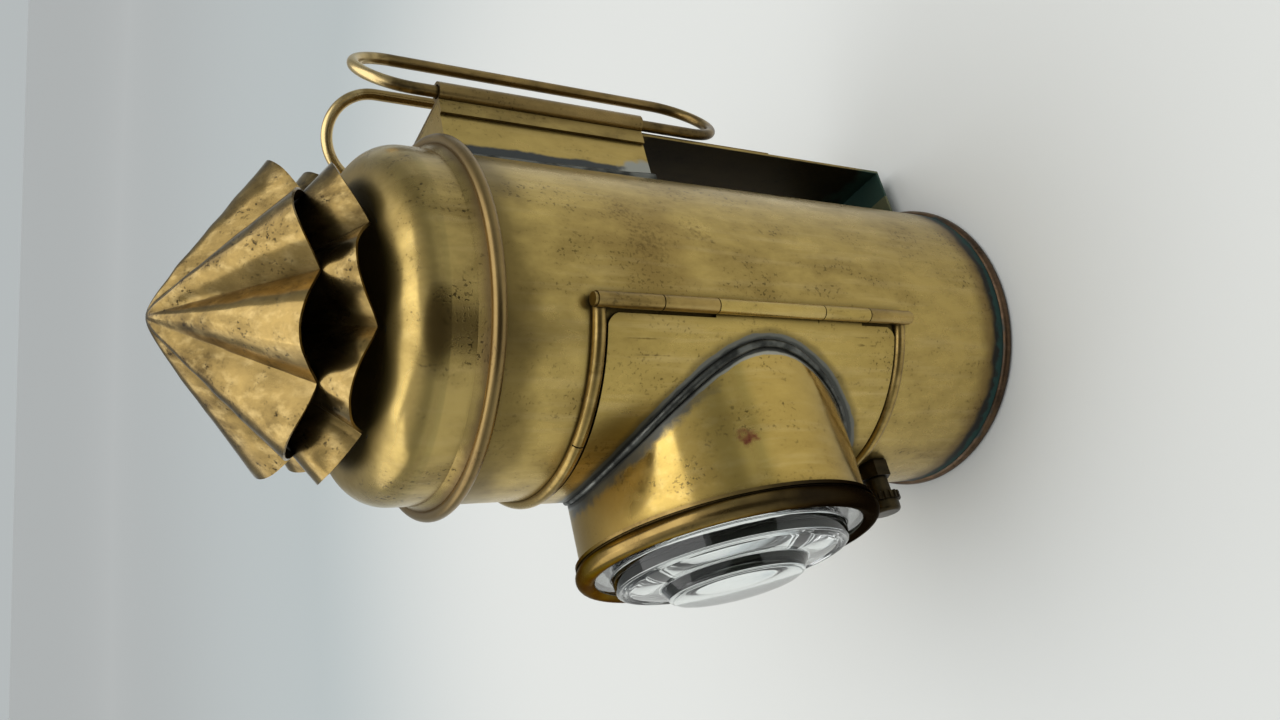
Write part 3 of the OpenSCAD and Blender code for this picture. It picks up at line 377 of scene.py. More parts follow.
def past_saddle(material):
    """Distance ahead of the saddle along the lens."""
    tree = material.node_tree
    parts = add_node(tree, "SeparateXYZ", links={0: tree.nodes["place"].outputs["Object"]})
    square = add_node(tree, "Math", {"operation": "MULTIPLY"},
                      {0: parts.outputs["X"], 1: parts.outputs["X"]})
    left = add_node(tree, "Math", {"operation": "SUBTRACT", 0: (DOOR_RADIUS * MM) ** 2},
                    {1: square.outputs[0]})
    deep = add_node(tree, "Math", {"operation": "SQRT"}, {0: left.outputs[0]})
    back = add_node(tree, "Math", {"operation": "ADD"},
                    {0: deep.outputs[0], 1: parts.outputs["Y"]})
    ahead = add_node(tree, "Math", {"operation": "MULTIPLY", 1: -1.0}, {0: back.outputs[0]})
    return ahead.outputs[0]


def past_tube(material):
    """Distance from the tube, measured along the door's bent sheet."""
    tree = material.node_tree
    centre = [c * MM for c in LENS_POINT]
    apart = add_node(tree, "VectorMath", {"operation": "SUBTRACT", 1: centre},
                     {0: tree.nodes["place"].outputs["Object"]})
    parts = add_node(tree, "SeparateXYZ", links={0: apart.outputs[0]})
    from_axis = distance(material, LENS_POINT, ROUND_LENS)
    gap = add_node(tree, "Math", {"operation": "SUBTRACT", 1: TUBE_RADIUS * MM}, {0: from_axis})
    scaled = add_node(tree, "Math", {"operation": "MULTIPLY"}, {0: gap.outputs[0], 1: from_axis})
    bend = add_node(tree, "Math", {"operation": "MULTIPLY"},
                    {0: parts.outputs["X"], 1: parts.outputs["Y"]})
    slant = add_node(tree, "Math", {"operation": "DIVIDE", 1: DOOR_RADIUS * MM},
                     {0: bend.outputs[0]})
    flat = add_node(tree, "CombineXYZ", links={"X": slant.outputs[0], "Z": parts.outputs["Z"]})
    slope = add_node(tree, "VectorMath", {"operation": "LENGTH"}, {0: flat.outputs[0]})
    beside = add_node(tree, "Math", {"operation": "DIVIDE"},
                      {0: scaled.outputs[0], 1: slope.outputs["Value"]})
    return beside.outputs[0]


beside = past_tube(door_brass)
ahead = past_saddle(tube_brass)
print("the saddle bends round a radius of", DOOR_RADIUS, "mm")

# %% [markdown]
# The door has a few fine dark scratches, and the tube a dull patch on top and a reddish spot.
# The bezel is painted nearly black toward the lantern's foot, as painted shade for the dark it reflects
# there. Its inside, round the glass, is an even dull grey, and the glass shows that grey as its dark rings.

# %% Stains of the door, the tube and the bezel
RED_SPOT = (36.2, -46.4, 103.9)
TINNED = (14, -46, 127)
TUBE_TOP = (-2, -54, 129)
BEZEL_SHADE_LEVEL = (0, 0, 40)
BEZEL_EDGE_TINT = "#8c8270"
RIM_THICK = 4.0
SLEEVE_HALF = 4.0
DOOR_SCRATCHES = [((38.7, -22.4, 128), 5), ((36.6, -25.6, 124), 7), ((39.9, -20.2, 60), 3),
                  ((38.9, -22.0, 58), 4)]
stain(door_brass, "#5d5236", 0.4, [(beside, 3.4, 5.6)], ragged=1.4, patch=6, share=0.6)
stain(door_brass, "#6f706a", 0.42, [(beside, 3.0, 3.5)], ragged=0.8, patch=7, share=0.95)
stain(door_brass, "#484946", 0.45, [(beside, 1.9, 2.6)], ragged=0.7, patch=5, share=0.9)
for point, half in DOOR_SCRATCHES:
    stain(door_brass, "#4a3a1e", 0.45, [(distance(door_brass, point, ROUND_UPRIGHT), -0.1, 0.25),
                                        (distance(door_brass, point, LEVEL), half * 0.3, half)],
          ragged=0.6, patch=2.5, share=0.55)
stain(door_brass, SOOT, 0.75,
      [(distance(door_brass, ORIGIN, ROUND_UPRIGHT), DOOR_RADIUS - 0.6, DOOR_RADIUS - 0.3)])
stain(tube_brass, "#8f763e", 0.44, [(distance(tube_brass, TUBE_TOP, ALL_WAYS), 10, 26)],
      ragged=7, patch=5, share=0.85)
stain(tube_brass, "#a3a39a", 0.34, [(ahead, 2.3, 2.7)], ragged=0.8, patch=8, share=0.9)
stain(tube_brass, "#5c5c56", 0.36, [(ahead, 2.4, 5.6), (distance(tube_brass, TINNED, ALL_WAYS), 18, 36)],
      ragged=2.4, patch=3)
stain(tube_brass, "#4a4a46", 0.45, [(ahead, 1.4, 1.9)], ragged=0.6, patch=6)
stain(tube_brass, "#7f4034", 0.5, [(distance(tube_brass, RED_SPOT, ALL_WAYS), -0.5, 3.4)],
      ragged=3.6, patch=1.8)
stain(tube_brass, "#5b5951", 0.6,
      [(distance(tube_brass, LENS_POINT, ROUND_LENS), TUBE_RADIUS - 0.7, TUBE_RADIUS - 0.4)])
# Painted shade: the bezel's lower part is darkened to nearly black for the dark surroundings it reflects.
stain(bezel_brass, "#1d1813", 0.45, [(distance(bezel_brass, BEZEL_SHADE_LEVEL, LEVEL), 48, 82)],
      ragged=14, patch=12, share=0.95)
behind_rim = (0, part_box("lens_glass")[1].y / MM - RIM_THICK + SLEEVE_HALF, 0)
stain(bezel_brass, "#85877f", 0.7,
      [(distance(bezel_brass, LENS_POINT, ROUND_LENS), TUBE_RADIUS + 0.15, TUBE_RADIUS + 0.35),
       (distance(bezel_brass, behind_rim, DEEP), SLEEVE_HALF + 0.1, SLEEVE_HALF + 0.2)], share=0.95)
bezel_brass.node_tree.nodes["finish"].inputs["Specular Tint"].default_value = linear(BEZEL_EDGE_TINT)
print("stained:", door_brass.name, tube_brass.name, bezel_brass.name)

# %% [markdown]
# The dome is dull and brown round the chimney, where smoke passes, and its bead is worn brown.
# The strap's inner face, in the narrow gap behind the body, is painted nearly black as painted shade, and its
# foot is green.
# On the box, solder ran up the sides from the seam and left a pale patch at the lower end.
# Hands have kept the bends of the handles bright.

# %% Stains of the cap and the back
CAP_BEAD = (0, 0, 164.5)
STRAP_INNER = (0, 50, 0)
STRAP_MIDDLE = (0, 0, 48)
STRAP_FOOT = (0, 0, 4)
SEAM_DEEP = 38.4
BOX_SEAM = (0, SEAM_DEEP, 0)
BOX_END = (0, SEAM_DEEP + 2, 100)
LONG_PATCH = (0, 1, 0.5)
HANDLE_BEND = (0, 0, 190)
stain(dome_brass, "#8a7644", 0.5, [(distance(dome_brass, ORIGIN, ROUND_UPRIGHT), 36, 42)],
      ragged=3, patch=8, share=0.85)
stain(dome_brass, "#7d6744", 0.34, [(distance(dome_brass, CAP_BEAD, LEVEL), 1.6, 3.4)],
      ragged=1, patch=5, share=0.8)
# Painted shade on the strap's inner face, in the gap between the strap and the body.
stain(strap_brass, "#1b1812", 0.55, [(distance(strap_brass, STRAP_INNER, DEEP), 4.5, 4.7),
                                     (distance(strap_brass, STRAP_MIDDLE, LEVEL), 47, 51)], share=0.9)
stain(strap_brass, "#41665f", 0.7, [(distance(strap_brass, STRAP_FOOT, LEVEL), 5, 13)],
      ragged=9, patch=6, share=0.6)
stain(box_brass, "#4a4c4c", 0.45, [(distance(box_brass, BOX_SEAM, DEEP), 3.6, 4.6)], ragged=1.2, patch=6)
stain(box_brass, "#9a9a92", 0.4, [(distance(box_brass, BOX_END, LONG_PATCH), 3.4, 5.2)], ragged=2.0)
stain(wire_brass, "#d8bf88", 0.26, [(distance(wire_brass, HANDLE_BEND, LEVEL), 12, 26)],
      ragged=12, patch=5, share=0.8)
print("stained:", dome_brass.name, strap_brass.name, box_brass.name, wire_brass.name)

# %% [markdown]
# Soft solder is a tin and lead alloy. It runs into a joint, sets with a lumpy skin, and goes a dull dark
# grey.

# %% Soft solder
SKIN_PATCH = 4.0 * MM
LUMP_SIZE = 1.6 * MM
LUMP_DEEP = 0.06 * MM


def soft_solder(name):
    """Grey alloy with a dull oxide skin."""
    material, tree, shader, place = new_material(name)
    patch = add_node(tree, "TexNoise", {"Scale": 1 / SKIN_PATCH, "Detail": 6}, {"Vector": place})
    share = add_node(tree, "MapRange", {"From Min": 0.38, "From Max": 0.62},
                     {"Value": patch.outputs["Fac"]})
    colour = add_node(tree, "Mix",
                      {"data_type": "RGBA", 6: linear("#696a65"), 7: linear("#3f403d")},
                      {0: share.outputs[0]})
    gloss = add_node(tree, "MapRange", {"To Min": 0.36, "To Max": 0.55},
                     {"Value": share.outputs[0]})
    lump = add_node(tree, "TexNoise", {"Scale": 1 / LUMP_SIZE, "Detail": 3}, {"Vector": place})
    bump = add_node(tree, "Bump", {"Strength": 0.6, "Distance": LUMP_DEEP},
                    {"Height": lump.outputs["Fac"]})
    shader.inputs["Metallic"].default_value = 1.0
    feed(shader, {"Base Color": colour.outputs[2], "Roughness": gloss.outputs[0], "Normal": bump.outputs[0]})
    return material


solder = soft_solder("soft_solder")
print("made", solder.name)

# %% [markdown]
# The glass pieces are pressed glass: the bull's-eye is nearly white, and the panes are coloured through and
# through. A mould leaves a faint ripple, and years of use a little haze.

# %% Pressed glass
RIPPLE_SIZE = 7.0 * MM
RIPPLE_DEEP = 0.03 * MM
GLASS_IOR = 1.52


def pressed_glass(name, colour, roughness):
    """Glass with a faint pressed ripple and a little haze."""
    material, tree, shader, place = new_material(name)
    ripple = add_node(tree, "TexNoise", {"Scale": 1 / RIPPLE_SIZE, "Detail": 2},
                      {"Vector": place})
    bump = add_node(tree, "Bump", {"Strength": 0.5, "Distance": RIPPLE_DEEP},
                    {"Height": ripple.outputs["Fac"]})
    haze = add_node(tree, "MapRange", {"To Min": roughness * 0.6, "To Max": roughness * 1.4},
                    {"Value": ripple.outputs["Fac"]})
    shader.inputs["Base Color"].default_value = linear(colour)
    shader.inputs["IOR"].default_value = GLASS_IOR
    shader.inputs["Transmission Weight"].default_value = 1.0
    feed(shader, {"Roughness": haze.outputs[0], "Normal": bump.outputs[0]})
    return material


clear_glass = pressed_glass("clear_pressed_glass", "#f4f8f6", 0.02)
red_glass = pressed_glass("red_glass", "#c8281c", 0.03)
green_glass = pressed_glass("green_glass", "#2c9a62", 0.03)
print("glass:", clear_glass.name, red_glass.name, green_glass.name)

# %% [markdown]
# Each solid now gets its finish. Pieces that share a sheet share a finish, and the burner and the drum
# inside are sooty all over.

# %% Finish of each solid
FINISHES = {
    body_brass: ["body_shell"],
    door_brass: ["door_panel"],
    box_brass: ["back_box", "catch_leaf"],
    bead_brass: ["door_frame_bead", "frame_knuckles", "door_pull", "hinge_pin"],
    dome_brass: ["cap_dome"],
    bezel_brass: ["lens_bezel", "lens_ring"],
    tube_brass: ["lens_tube"],
    crimped_brass: ["chimney_upper_tier", "chimney_lower_tier"],
    wire_brass: ["hinge_side_handle", "catch_side_handle", "cap_rim_wire"],
    plate_brass: ["handle_plate"],
    strap_brass: ["back_strap"],
    pan_brass: ["base_plate"],
    bronze: ["winder_bush", "winder_knob", "winder_shaft"],
    sooty_brass: ["filter_drum", "flue_tube", "oil_reservoir", "filler_cap", "burner_collar", "wick_tube",
                  "spur_wheels", "reflector_bracket", "wick"],
    silvered: ["reflector"],
    solder: ["lens_solder_seam", "box_solder_seams", "chimney_solder"],
    clear_glass: ["lens_glass"],
    red_glass: ["red_pane"],
    green_glass: ["green_pane"],
}
for finish, names in FINISHES.items():
    for name in names:
        nodes[name].material_slots[0].material = finish
print("solids without a finish:", sorted(set(nodes) - {n for names in FINISHES.values() for n in names}))

# %% [markdown]
# New pieces are made with bmesh, at their own place in the lantern, and take over from the plain solid.
# One function turns such a shape into an object that rides on the right body and stands for the right solid.

# %% Helper for new pieces
SHARP_ANGLE = math.radians(38)
MERGE_GAP = 0.002 * MM


def add_piece(name, shape, materials, body, stands_for):
    """Object from a bmesh shape, smooth but for its sharp edges, in place of the named solid."""
    mesh = bpy.data.meshes.new(name)
    shape.to_mesh(mesh)
    shape.free()
    for material in materials:
        mesh.materials.append(material)
    mesh.shade_smooth()
    mesh.set_sharp_from_angle(angle=SHARP_ANGLE)
    piece = bpy.data.objects.new(name, mesh)
    bpy.context.scene.collection.objects.link(piece)
    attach(piece, body)
    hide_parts(stands_for)
    print(name, "faces:", len(mesh.polygons), "stands for", stands_for)


print("edges stay sharp past", round(math.degrees(SHARP_ANGLE)), "degrees")

# %% [markdown]
# Each chimney tier is a disc of thin sheet, pleated by hand into eight flutes.
# A pleat leaves the length from the point to the edge as it was, so a crest ends higher and farther out than
# a valley, and the edge becomes a row of arches.
# Pleats could be sculpted, but a formula keeps the sheet's length and is easily changed. The shape starts as
# a line that is spun into a plain disc. Each vertex then keeps its distance from the point and takes the
# slope of its pleat. The crests are broad and the valleys narrow, no two flutes are quite alike, and small
# dents from years of use lie all over them.

# %% Slope of a pleat
FLUTES = 8
CREST_BROAD = 0.46
POINT_DEPTH = 0.4
SHIFT_THREE, SHIFT_FIVE = math.radians(1.3), math.radians(0.9)
LEAN_TWO, LEAN_SEVEN = math.radians(0.5), math.radians(0.4)


def pleat_slope(around, along, crest, valley, turn):
    """Slope from the axis, in radians, of the pleated sheet at an angle and at a share of its length."""
    unlike = SHIFT_THREE * math.sin(3 * around + 1.1) + SHIFT_FIVE * math.sin(5 * around + 0.4 + turn)
    wave = 0.5 + 0.5 * math.cos(FLUTES * (around + unlike - turn))
    narrow = 1.0 - CREST_BROAD * min(1.0, along * 1.5)
    depth = min(1.0, POINT_DEPTH + along * 2.0)
    middle = (crest + valley) / 2
    folded = valley + (crest - valley) * wave ** narrow
    lean = LEAN_TWO * math.sin(2 * around + 2.0) + LEAN_SEVEN * math.sin(7 * around)
    return middle + (folded - middle + lean) * depth


print("flutes in a tier:", FLUTES)

# %% [markdown]
# The sheet gets its thickness last, after its normals point outward. Its inner side is sooty, so the faces
# that look down and in take the second material.

# %% Crimped chimney tiers
ROWS = 40
STEPS = 240
SHEET = 0.6 * MM
OUTSIDE, INSIDE = 0, 1
DENT_SIZE = 5.5 * MM
DENT_DEEP = 0.22 * MM
DENT_FULL = 12.0 * MM
EDGE_UNEVEN = 0.5 * MM
EDGE_WAVES = 4


def crimped_tier(name, stands_for, apex, start, length, crest, valley, turn, blunt):
    """Pleated cone of sheet with its point at the height apex."""
    crest, valley = math.radians(crest), math.radians(valley)
    shape = bmesh.new()
    line = [shape.verts.new((start + (length - start) * k / ROWS, 0, 0)) for k in range(ROWS + 1)]
    edges = [shape.edges.new(pair) for pair in zip(line, line[1:])]
    bmesh.ops.spin(shape, geom=line + edges, axis=(0, 0, 1), cent=(0, 0, 0), angle=2 * math.pi, steps=STEPS,
                   use_merge=True, dvec=(0, 0, 0))
    bmesh.ops.remove_doubles(shape, verts=shape.verts, dist=MERGE_GAP)
    for vert in shape.verts:
        far = vert.co.to_2d().length
        around = math.atan2(vert.co.y, vert.co.x)
        along = far / length
        slope = pleat_slope(around, along, crest, valley, turn)
        edge_place = Vector((math.cos(around), math.sin(around), turn)) * EDGE_WAVES
        far += EDGE_UNEVEN * along ** 4 * noise.noise(edge_place)
        dent = DENT_DEEP * noise.noise(vert.co / DENT_SIZE)
        slope += dent * min(1.0, far / DENT_FULL) / max(far, DENT_FULL)
        out = far * math.sin(slope)
        drop = math.hypot(far * math.cos(slope), blunt)
        vert.co = (out * math.cos(around), out * math.sin(around), apex - drop)
    bmesh.ops.recalc_face_normals(shape, faces=shape.faces)
    if sum(face.normal.z for face in shape.faces) < 0:
        bmesh.ops.reverse_faces(shape, faces=shape.faces)
    bmesh.ops.solidify(shape, geom=list(shape.faces), thickness=SHEET)
    shape.normal_update()
    for face in shape.faces:
        outward = face.calc_center_median().to_2d().dot(face.normal.to_2d())
        face.material_index = INSIDE if face.normal.z < 0 and outward < 0 else OUTSIDE
    add_piece(name, shape, [crimped_brass, sooty_brass], "cap", stands_for)


UPPER_LENGTH = 45.4 * MM
UPPER_CREST, UPPER_VALLEY = 53.8, 44.8
UPPER_TURN = math.radians(14)
UPPER_BLUNT = 2.9 * MM
LOWER_START, LOWER_LENGTH = 27.6 * MM, 47.5 * MM
LOWER_CREST, LOWER_VALLEY = 54.5, 44.5
LOWER_TURN = math.radians(-8.5)
LOWER_DROP = 34.74 * MM
upper_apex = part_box("chimney_upper_tier")[1].z + UPPER_BLUNT
lower_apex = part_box("chimney_lower_tier")[0].z + LOWER_DROP
crimped_tier("crimped_upper_tier", "chimney_upper_tier", upper_apex, 0.0, UPPER_LENGTH, UPPER_CREST,
             UPPER_VALLEY, UPPER_TURN, UPPER_BLUNT)
crimped_tier("crimped_lower_tier", "chimney_lower_tier", lower_apex, LOWER_START, LOWER_LENGTH, LOWER_CREST,
             LOWER_VALLEY, LOWER_TURN, 0.0)

# %% [markdown]
# Solder was run into the joints with an iron. It sets as an uneven bead, thick where the iron rested.
# A run is a curve through the joint, and each of its points has its own thickness. As a mesh, its skin gets
# lumps.

# %% Runs of solder
LUMP_STEP = 8.0 * MM
LUMP_SHARE = 0.2


def solder_runs(name, runs, thick, closed, body, stands_for):
    """Uneven beads of solder along runs of points. Each point is a place and a share of the thickness."""
    data = bpy.data.curves.new(name, "CURVE")
    data.dimensions = "3D"
    data.bevel_depth = thick
    data.bevel_resolution = 4
    data.use_fill_caps = True
    for points in runs:
        spline = data.splines.new("POLY")
        spline.points.add(len(points) - 1)
        spline.use_cyclic_u = closed
        for target, (place, share) in zip(spline.points, points):
            target.co = (*place, 1)
            target.radius = share
    holder = bpy.data.objects.new(name, data)
    bpy.context.scene.collection.objects.link(holder)
    mesh = bpy.data.meshes.new_from_object(holder.evaluated_get(bpy.context.evaluated_depsgraph_get()))
    bpy.data.objects.remove(holder)
    shape = bmesh.new()
    shape.from_mesh(mesh)
    bpy.data.meshes.remove(mesh)
    bmesh.ops.remove_doubles(shape, verts=shape.verts, dist=MERGE_GAP)
    bmesh.ops.recalc_face_normals(shape, faces=shape.faces)
    for vert in shape.verts:
        vert.co += vert.normal * LUMP_SHARE * thick * noise.noise(vert.co / LUMP_STEP)
    add_piece(name, shape, [solder], body, stands_for)


print("lumps of solder every", round(LUMP_STEP / MM), "mm")

# %% [markdown]
# The longest run follows the saddle, where the tube meets the door: a circle about the lens's axis, bent
# round the door's cylinder.

# %% Solder along the saddle
SADDLE_POINTS = 260
SADDLE_THICK = 0.95 * MM
SADDLE_RADIUS = TUBE_RADIUS + 0.3
SADDLE_BEND = DOOR_RADIUS + 0.1
SADDLE_UNEVEN = 0.25
saddle = []
for k in range(SADDLE_POINTS):
    turn = 2 * math.pi * k / SADDLE_POINTS
    across = SADDLE_RADIUS * math.cos(turn)
    out = math.sqrt(SADDLE_BEND ** 2 - across ** 2)
    place = Vector((across, -out, LENS_HEIGHT + SADDLE_RADIUS * math.sin(turn))) * MM
    saddle.append((place, 1 + SADDLE_UNEVEN * math.sin(2 * turn + 0.6)))
solder_runs("saddle_solder", [saddle], SADDLE_THICK, True, "door", "lens_solder_seam")

# %% [markdown]
# The box's sides were soldered to the body from below, so the bead is thin at the top and heavy at the
# lower end.

# %% Solder on the box
SEAM_POINTS = 70
SEAM_THICK = 1.3 * MM
SEAM_INSET = 0.4 * MM
SEAM_LIFT = 0.5 * MM
THIN_END, THICK_GAIN = 0.6, 0.8
seam_low, seam_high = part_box("box_solder_seams")
box_runs = []
for side in (seam_low.x + SEAM_INSET, seam_high.x - SEAM_INSET):
    deep = math.sqrt((BODY_RADIUS * MM) ** 2 - side ** 2) + SEAM_LIFT
    steps = [k / (SEAM_POINTS - 1) for k in range(SEAM_POINTS)]
    box_runs.append([(Vector((side, deep, seam_low.z + (seam_high.z - seam_low.z) * s)),
                      THIN_END + THICK_GAIN * (1 - s) ** 2) for s in steps])
solder_runs("box_solder", box_runs, SEAM_THICK, False, "body", "box_solder_seams")

# %% [markdown]
# The lower tier of the chimney only has a touch of solder at the foot of each valley.

# %% Solder below the chimney
TOUCH_RADIUS = 33.4 * MM
TOUCH_HALF = math.radians(7)
TOUCH_POINTS = 13
TOUCH_THICK = 0.9 * MM
TOUCH_MIDDLE = 1.1
TOUCH_LIFT = 0.3 * MM
touch_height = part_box("chimney_solder")[0].z + TOUCH_LIFT
touches = []
for flute in range(FLUTES):
    middle = LOWER_TURN + (flute + 0.5) * 2 * math.pi / FLUTES
    steps = [2 * k / (TOUCH_POINTS - 1) - 1 for k in range(TOUCH_POINTS)]
    touches.append([(Vector((TOUCH_RADIUS * math.cos(middle + TOUCH_HALF * s),
                             TOUCH_RADIUS * math.sin(middle + TOUCH_HALF * s), touch_height)),
                     TOUCH_MIDDLE - s * s) for s in steps])
solder_runs("chimney_touches", touches, TOUCH_THICK, False, "cap", "chimney_solder")

# %% [markdown]
# The bull's-eye was pressed in a mould: a flat rim that the bezel holds, a step with two fine grooves, a low
# shoulder and a thick centre disc. Pressed glass has no sharp edges, and inside the rim its back is raised.
# A steep wall shows the dark rim by way of the flat back, and a slope shows the pale room, so the shape
# alone makes the dark and the bright rings. The profile is a line whose corners are quarters of an ellipse,
# spun about the lens's axis. Its sizes are in mm.

# %% Profile of the bull's-eye
BACK_RAISED = 2.5
BACK_EDGE, BACK_FOOT = 2.5, 1.9
RIM_ROUND = 0.3
STEP_RADIUS = 30.9
STEP_RISE = 4.3
STEP_FOOT, STEP_WALL, STEP_FOOT_RISE = 1.1, 0.6, 0.5
STEP_ROUND = 0.7
GROOVES = 2
GROOVE_START = 0.2
GROOVE_PITCH = 1.3
GROOVE_WIDTH = 1.2
GROOVE_DEEP = 0.4
GROOVE_STEPS = 6
SHOULDER_RISE = 1.3
SHOULDER_STEPS = 12
DISC_FOOT = 19.7
DISC_FLARE, DISC_FOOT_RISE = 0.4, 0.3
DISC_EDGE = 17.2
DISC_RISE = 3.2
DISC_ROUND, DISC_ROUND_DROP = 1.0, 0.9
FOOT_STEPS, STEP_ROUND_STEPS, DISC_ROUND_STEPS, DOME_STEPS = 4, 5, 6, 16


def quarter(start, end, steps, upright_first):
    """Quarter of an ellipse between two points of a profile, each a radius and a height."""
    (from_radius, from_height), (to_radius, to_height) = start, end
    turns = [math.pi / 2 * k / steps for k in range(steps + 1)]
    if upright_first:
        return [(to_radius + (from_radius - to_radius) * math.cos(t),
                 from_height + (to_height - from_height) * math.sin(t)) for t in turns]
    return [(from_radius + (to_radius - from_radius) * math.sin(t),
             to_height + (from_height - to_height) * math.cos(t)) for t in turns]


def glass_profile(rim, back, top):
    """Radius and height of the profile's points, from the middle of the back to the middle of the front."""
    front, step = back + RIM_THICK, back + RIM_THICK + STEP_RISE
    foot = step + SHOULDER_RISE
    disc = foot + DISC_RISE
    line = [(0, back - BACK_RAISED), (rim - BACK_EDGE, back - BACK_RAISED), (rim - BACK_FOOT, back),
            (rim - RIM_ROUND, back), (rim, back + RIM_ROUND), (rim, front - RIM_ROUND),
            (rim - RIM_ROUND, front)]
    line += quarter((STEP_RADIUS + STEP_FOOT, front), (STEP_RADIUS + STEP_WALL, front + STEP_FOOT_RISE),
                    FOOT_STEPS, False)
    line += quarter((STEP_RADIUS, step - STEP_ROUND), (STEP_RADIUS - STEP_ROUND, step),
                    STEP_ROUND_STEPS, True)
    for groove in range(GROOVES):
        edge = STEP_RADIUS - STEP_ROUND - GROOVE_START - GROOVE_PITCH * groove
        line += [(edge - GROOVE_WIDTH * k / GROOVE_STEPS,
                  step - GROOVE_DEEP / 2 * (1 - math.cos(2 * math.pi * k / GROOVE_STEPS)))
                 for k in range(1, GROOVE_STEPS + 1)]
    inner, flare = line[-1][0], DISC_FOOT + DISC_FLARE
    for share in (k / SHOULDER_STEPS for k in range(1, SHOULDER_STEPS)):
        line.append((inner + (flare - inner) * share, step + SHOULDER_RISE * math.sin(math.pi / 2 * share)))
    line += quarter((flare, foot), (DISC_FOOT, foot + DISC_FOOT_RISE), FOOT_STEPS, False)
    line += quarter((DISC_EDGE + DISC_ROUND, disc - DISC_ROUND_DROP), (DISC_EDGE, disc),
                    DISC_ROUND_STEPS, True)
    return line + quarter((DISC_EDGE, disc), (0, top), DOME_STEPS, True)[1:]


glass_low, glass_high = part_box("lens_glass")
profile = glass_profile((glass_high.x - glass_low.x) / 2 / MM, -glass_high.y / MM, -glass_low.y / MM)
print("points of the profile:", len(profile))

# %% [markdown]
# A full spin closes on itself, so its last ring is merged with its first, and the points on the axis are
# merged to one at each end.

# %% Bull's-eye glass
GLASS_TURNS = 192
shape = bmesh.new()
verts = [shape.verts.new((r * MM, -h * MM, LENS_HEIGHT * MM)) for r, h in profile]
edges = [shape.edges.new(pair) for pair in zip(verts, verts[1:])]
bmesh.ops.spin(shape, geom=verts + edges, axis=(0, 1, 0), cent=(0, 0, LENS_HEIGHT * MM), angle=2 * math.pi,
               steps=GLASS_TURNS, use_merge=True, dvec=(0, 0, 0))
bmesh.ops.remove_doubles(shape, verts=shape.verts, dist=MERGE_GAP)
bmesh.ops.recalc_face_normals(shape, faces=shape.faces)
add_piece("bullseye_glass", shape, [clear_glass], "door", "lens_glass")

# %% [markdown]
# The wick is a flat woven cotton ribbon. Its warp runs upward, the weft crosses over and under, and the tip
# is charred.

# %% Woven cotton
THREAD = 0.7 * MM
THREAD_DEEP = 0.1 * MM
BAND_WIDTH = 0.314  # width in metres of a band in a wave texture of scale 1
CHAR_LENGTH = 4.0 * MM


def woven_cotton(name, tip):
    """Off-white threads that go brown and then black toward the tip."""
    material, tree, shader, place = new_material(name)
    warp, weft = [add_node(tree, "TexWave",
                           {"bands_direction": way, "Scale": BAND_WIDTH / THREAD, "Distortion": 1.5},
                           {"Vector": place}) for way in ("X", "Z")]
    weave = add_node(tree, "Math", {"operation": "MAXIMUM"},
                     {0: warp.outputs["Fac"], 1: weft.outputs["Fac"]})
    colour = add_node(tree, "Mix",
                      {"data_type": "RGBA", 6: linear("#8d8064"), 7: linear("#d9cfb6")},
                      {0: weave.outputs[0]})
    height = add_node(tree, "SeparateXYZ", links={0: place})
    burnt = add_node(tree, "MapRange",
                     {"From Min": tip - CHAR_LENGTH, "From Max": tip - 0.4 * CHAR_LENGTH},
                     {"Value": height.outputs["Z"]})
    charred = add_node(tree, "Mix", {"data_type": "RGBA", 7: linear("#15120f")},
                       {0: burnt.outputs[0], 6: colour.outputs[2]})
    bump = add_node(tree, "Bump", {"Strength": 0.8, "Distance": THREAD_DEEP},
                    {"Height": weave.outputs[0]})
    shader.inputs["Roughness"].default_value = 0.9
    feed(shader, {"Base Color": charred.outputs[2], "Normal": bump.outputs[0]})
    return material


wick_low, wick_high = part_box("wick")
cotton = woven_cotton("woven_cotton", wick_high.z)
print("made", cotton.name, "with threads of", round(THREAD / MM, 2), "mm")

# %% [markdown]
# Threads could be modelled one by one, but behind the glass a swell and the weave in the material are enough.
# So the ribbon is a block with rounded edges. It is cut into a row for each thread, and every second row
# swells out a little.

# %% Woven wick
EDGE_ROUND = 0.4
THREAD_SWELL = 0.06 * MM


def woven_ribbon():
    """Ribbon with rounded edges and a swell at each crossing of the threads."""
    middle, size = (wick_low + wick_high) / 2, wick_high - wick_low
    shape = bmesh.new()
    bmesh.ops.create_cube(shape, size=1.0)
    bmesh.ops.scale(shape, vec=size, verts=shape.verts)
    upright = [e for e in shape.edges if abs(e.verts[0].co.z - e.verts[1].co.z) > size.z / 2]
    bmesh.ops.bevel(shape, geom=upright, offset=min(size.x, size.y) * EDGE_ROUND, affect="EDGES", segments=3,
                    profile=0.5, material=-1)
    rows = int(size.z / THREAD)
    for k in range(1, rows):
        height = size.z * (k / rows - 0.5)
        bmesh.ops.bisect_plane(shape, geom=shape.verts[:] + shape.edges[:] + shape.faces[:],
                               plane_co=(0, 0, height), plane_no=(0, 0, 1))
    shape.normal_update()
    for vert in shape.verts:
        row = round((vert.co.z / size.z + 0.5) * rows)
        swell = THREAD_SWELL if row % 2 else -THREAD_SWELL
        vert.co += Vector((vert.normal.x, vert.normal.y, 0)) * swell
    bmesh.ops.translate(shape, vec=middle, verts=shape.verts)
    add_piece("woven_wick", shape, [cotton], "wick_ribbon", "wick")


woven_ribbon()

# %% [markdown]
# The lantern stands on a pale table in a pale room. The table is a wide disc whose far part fades to the
# cool grey of the wall behind it. It is one plain surface, so the lantern keeps its soft shadow. Light falls
# off with the distance, so the farthest part is painted paler again.

# %% Floor
FLOOR_RADIUS = 14.0
NEAR_FLOOR = 0.28
FAR_FLOOR = 0.75
PALE_FLOOR = 2.6


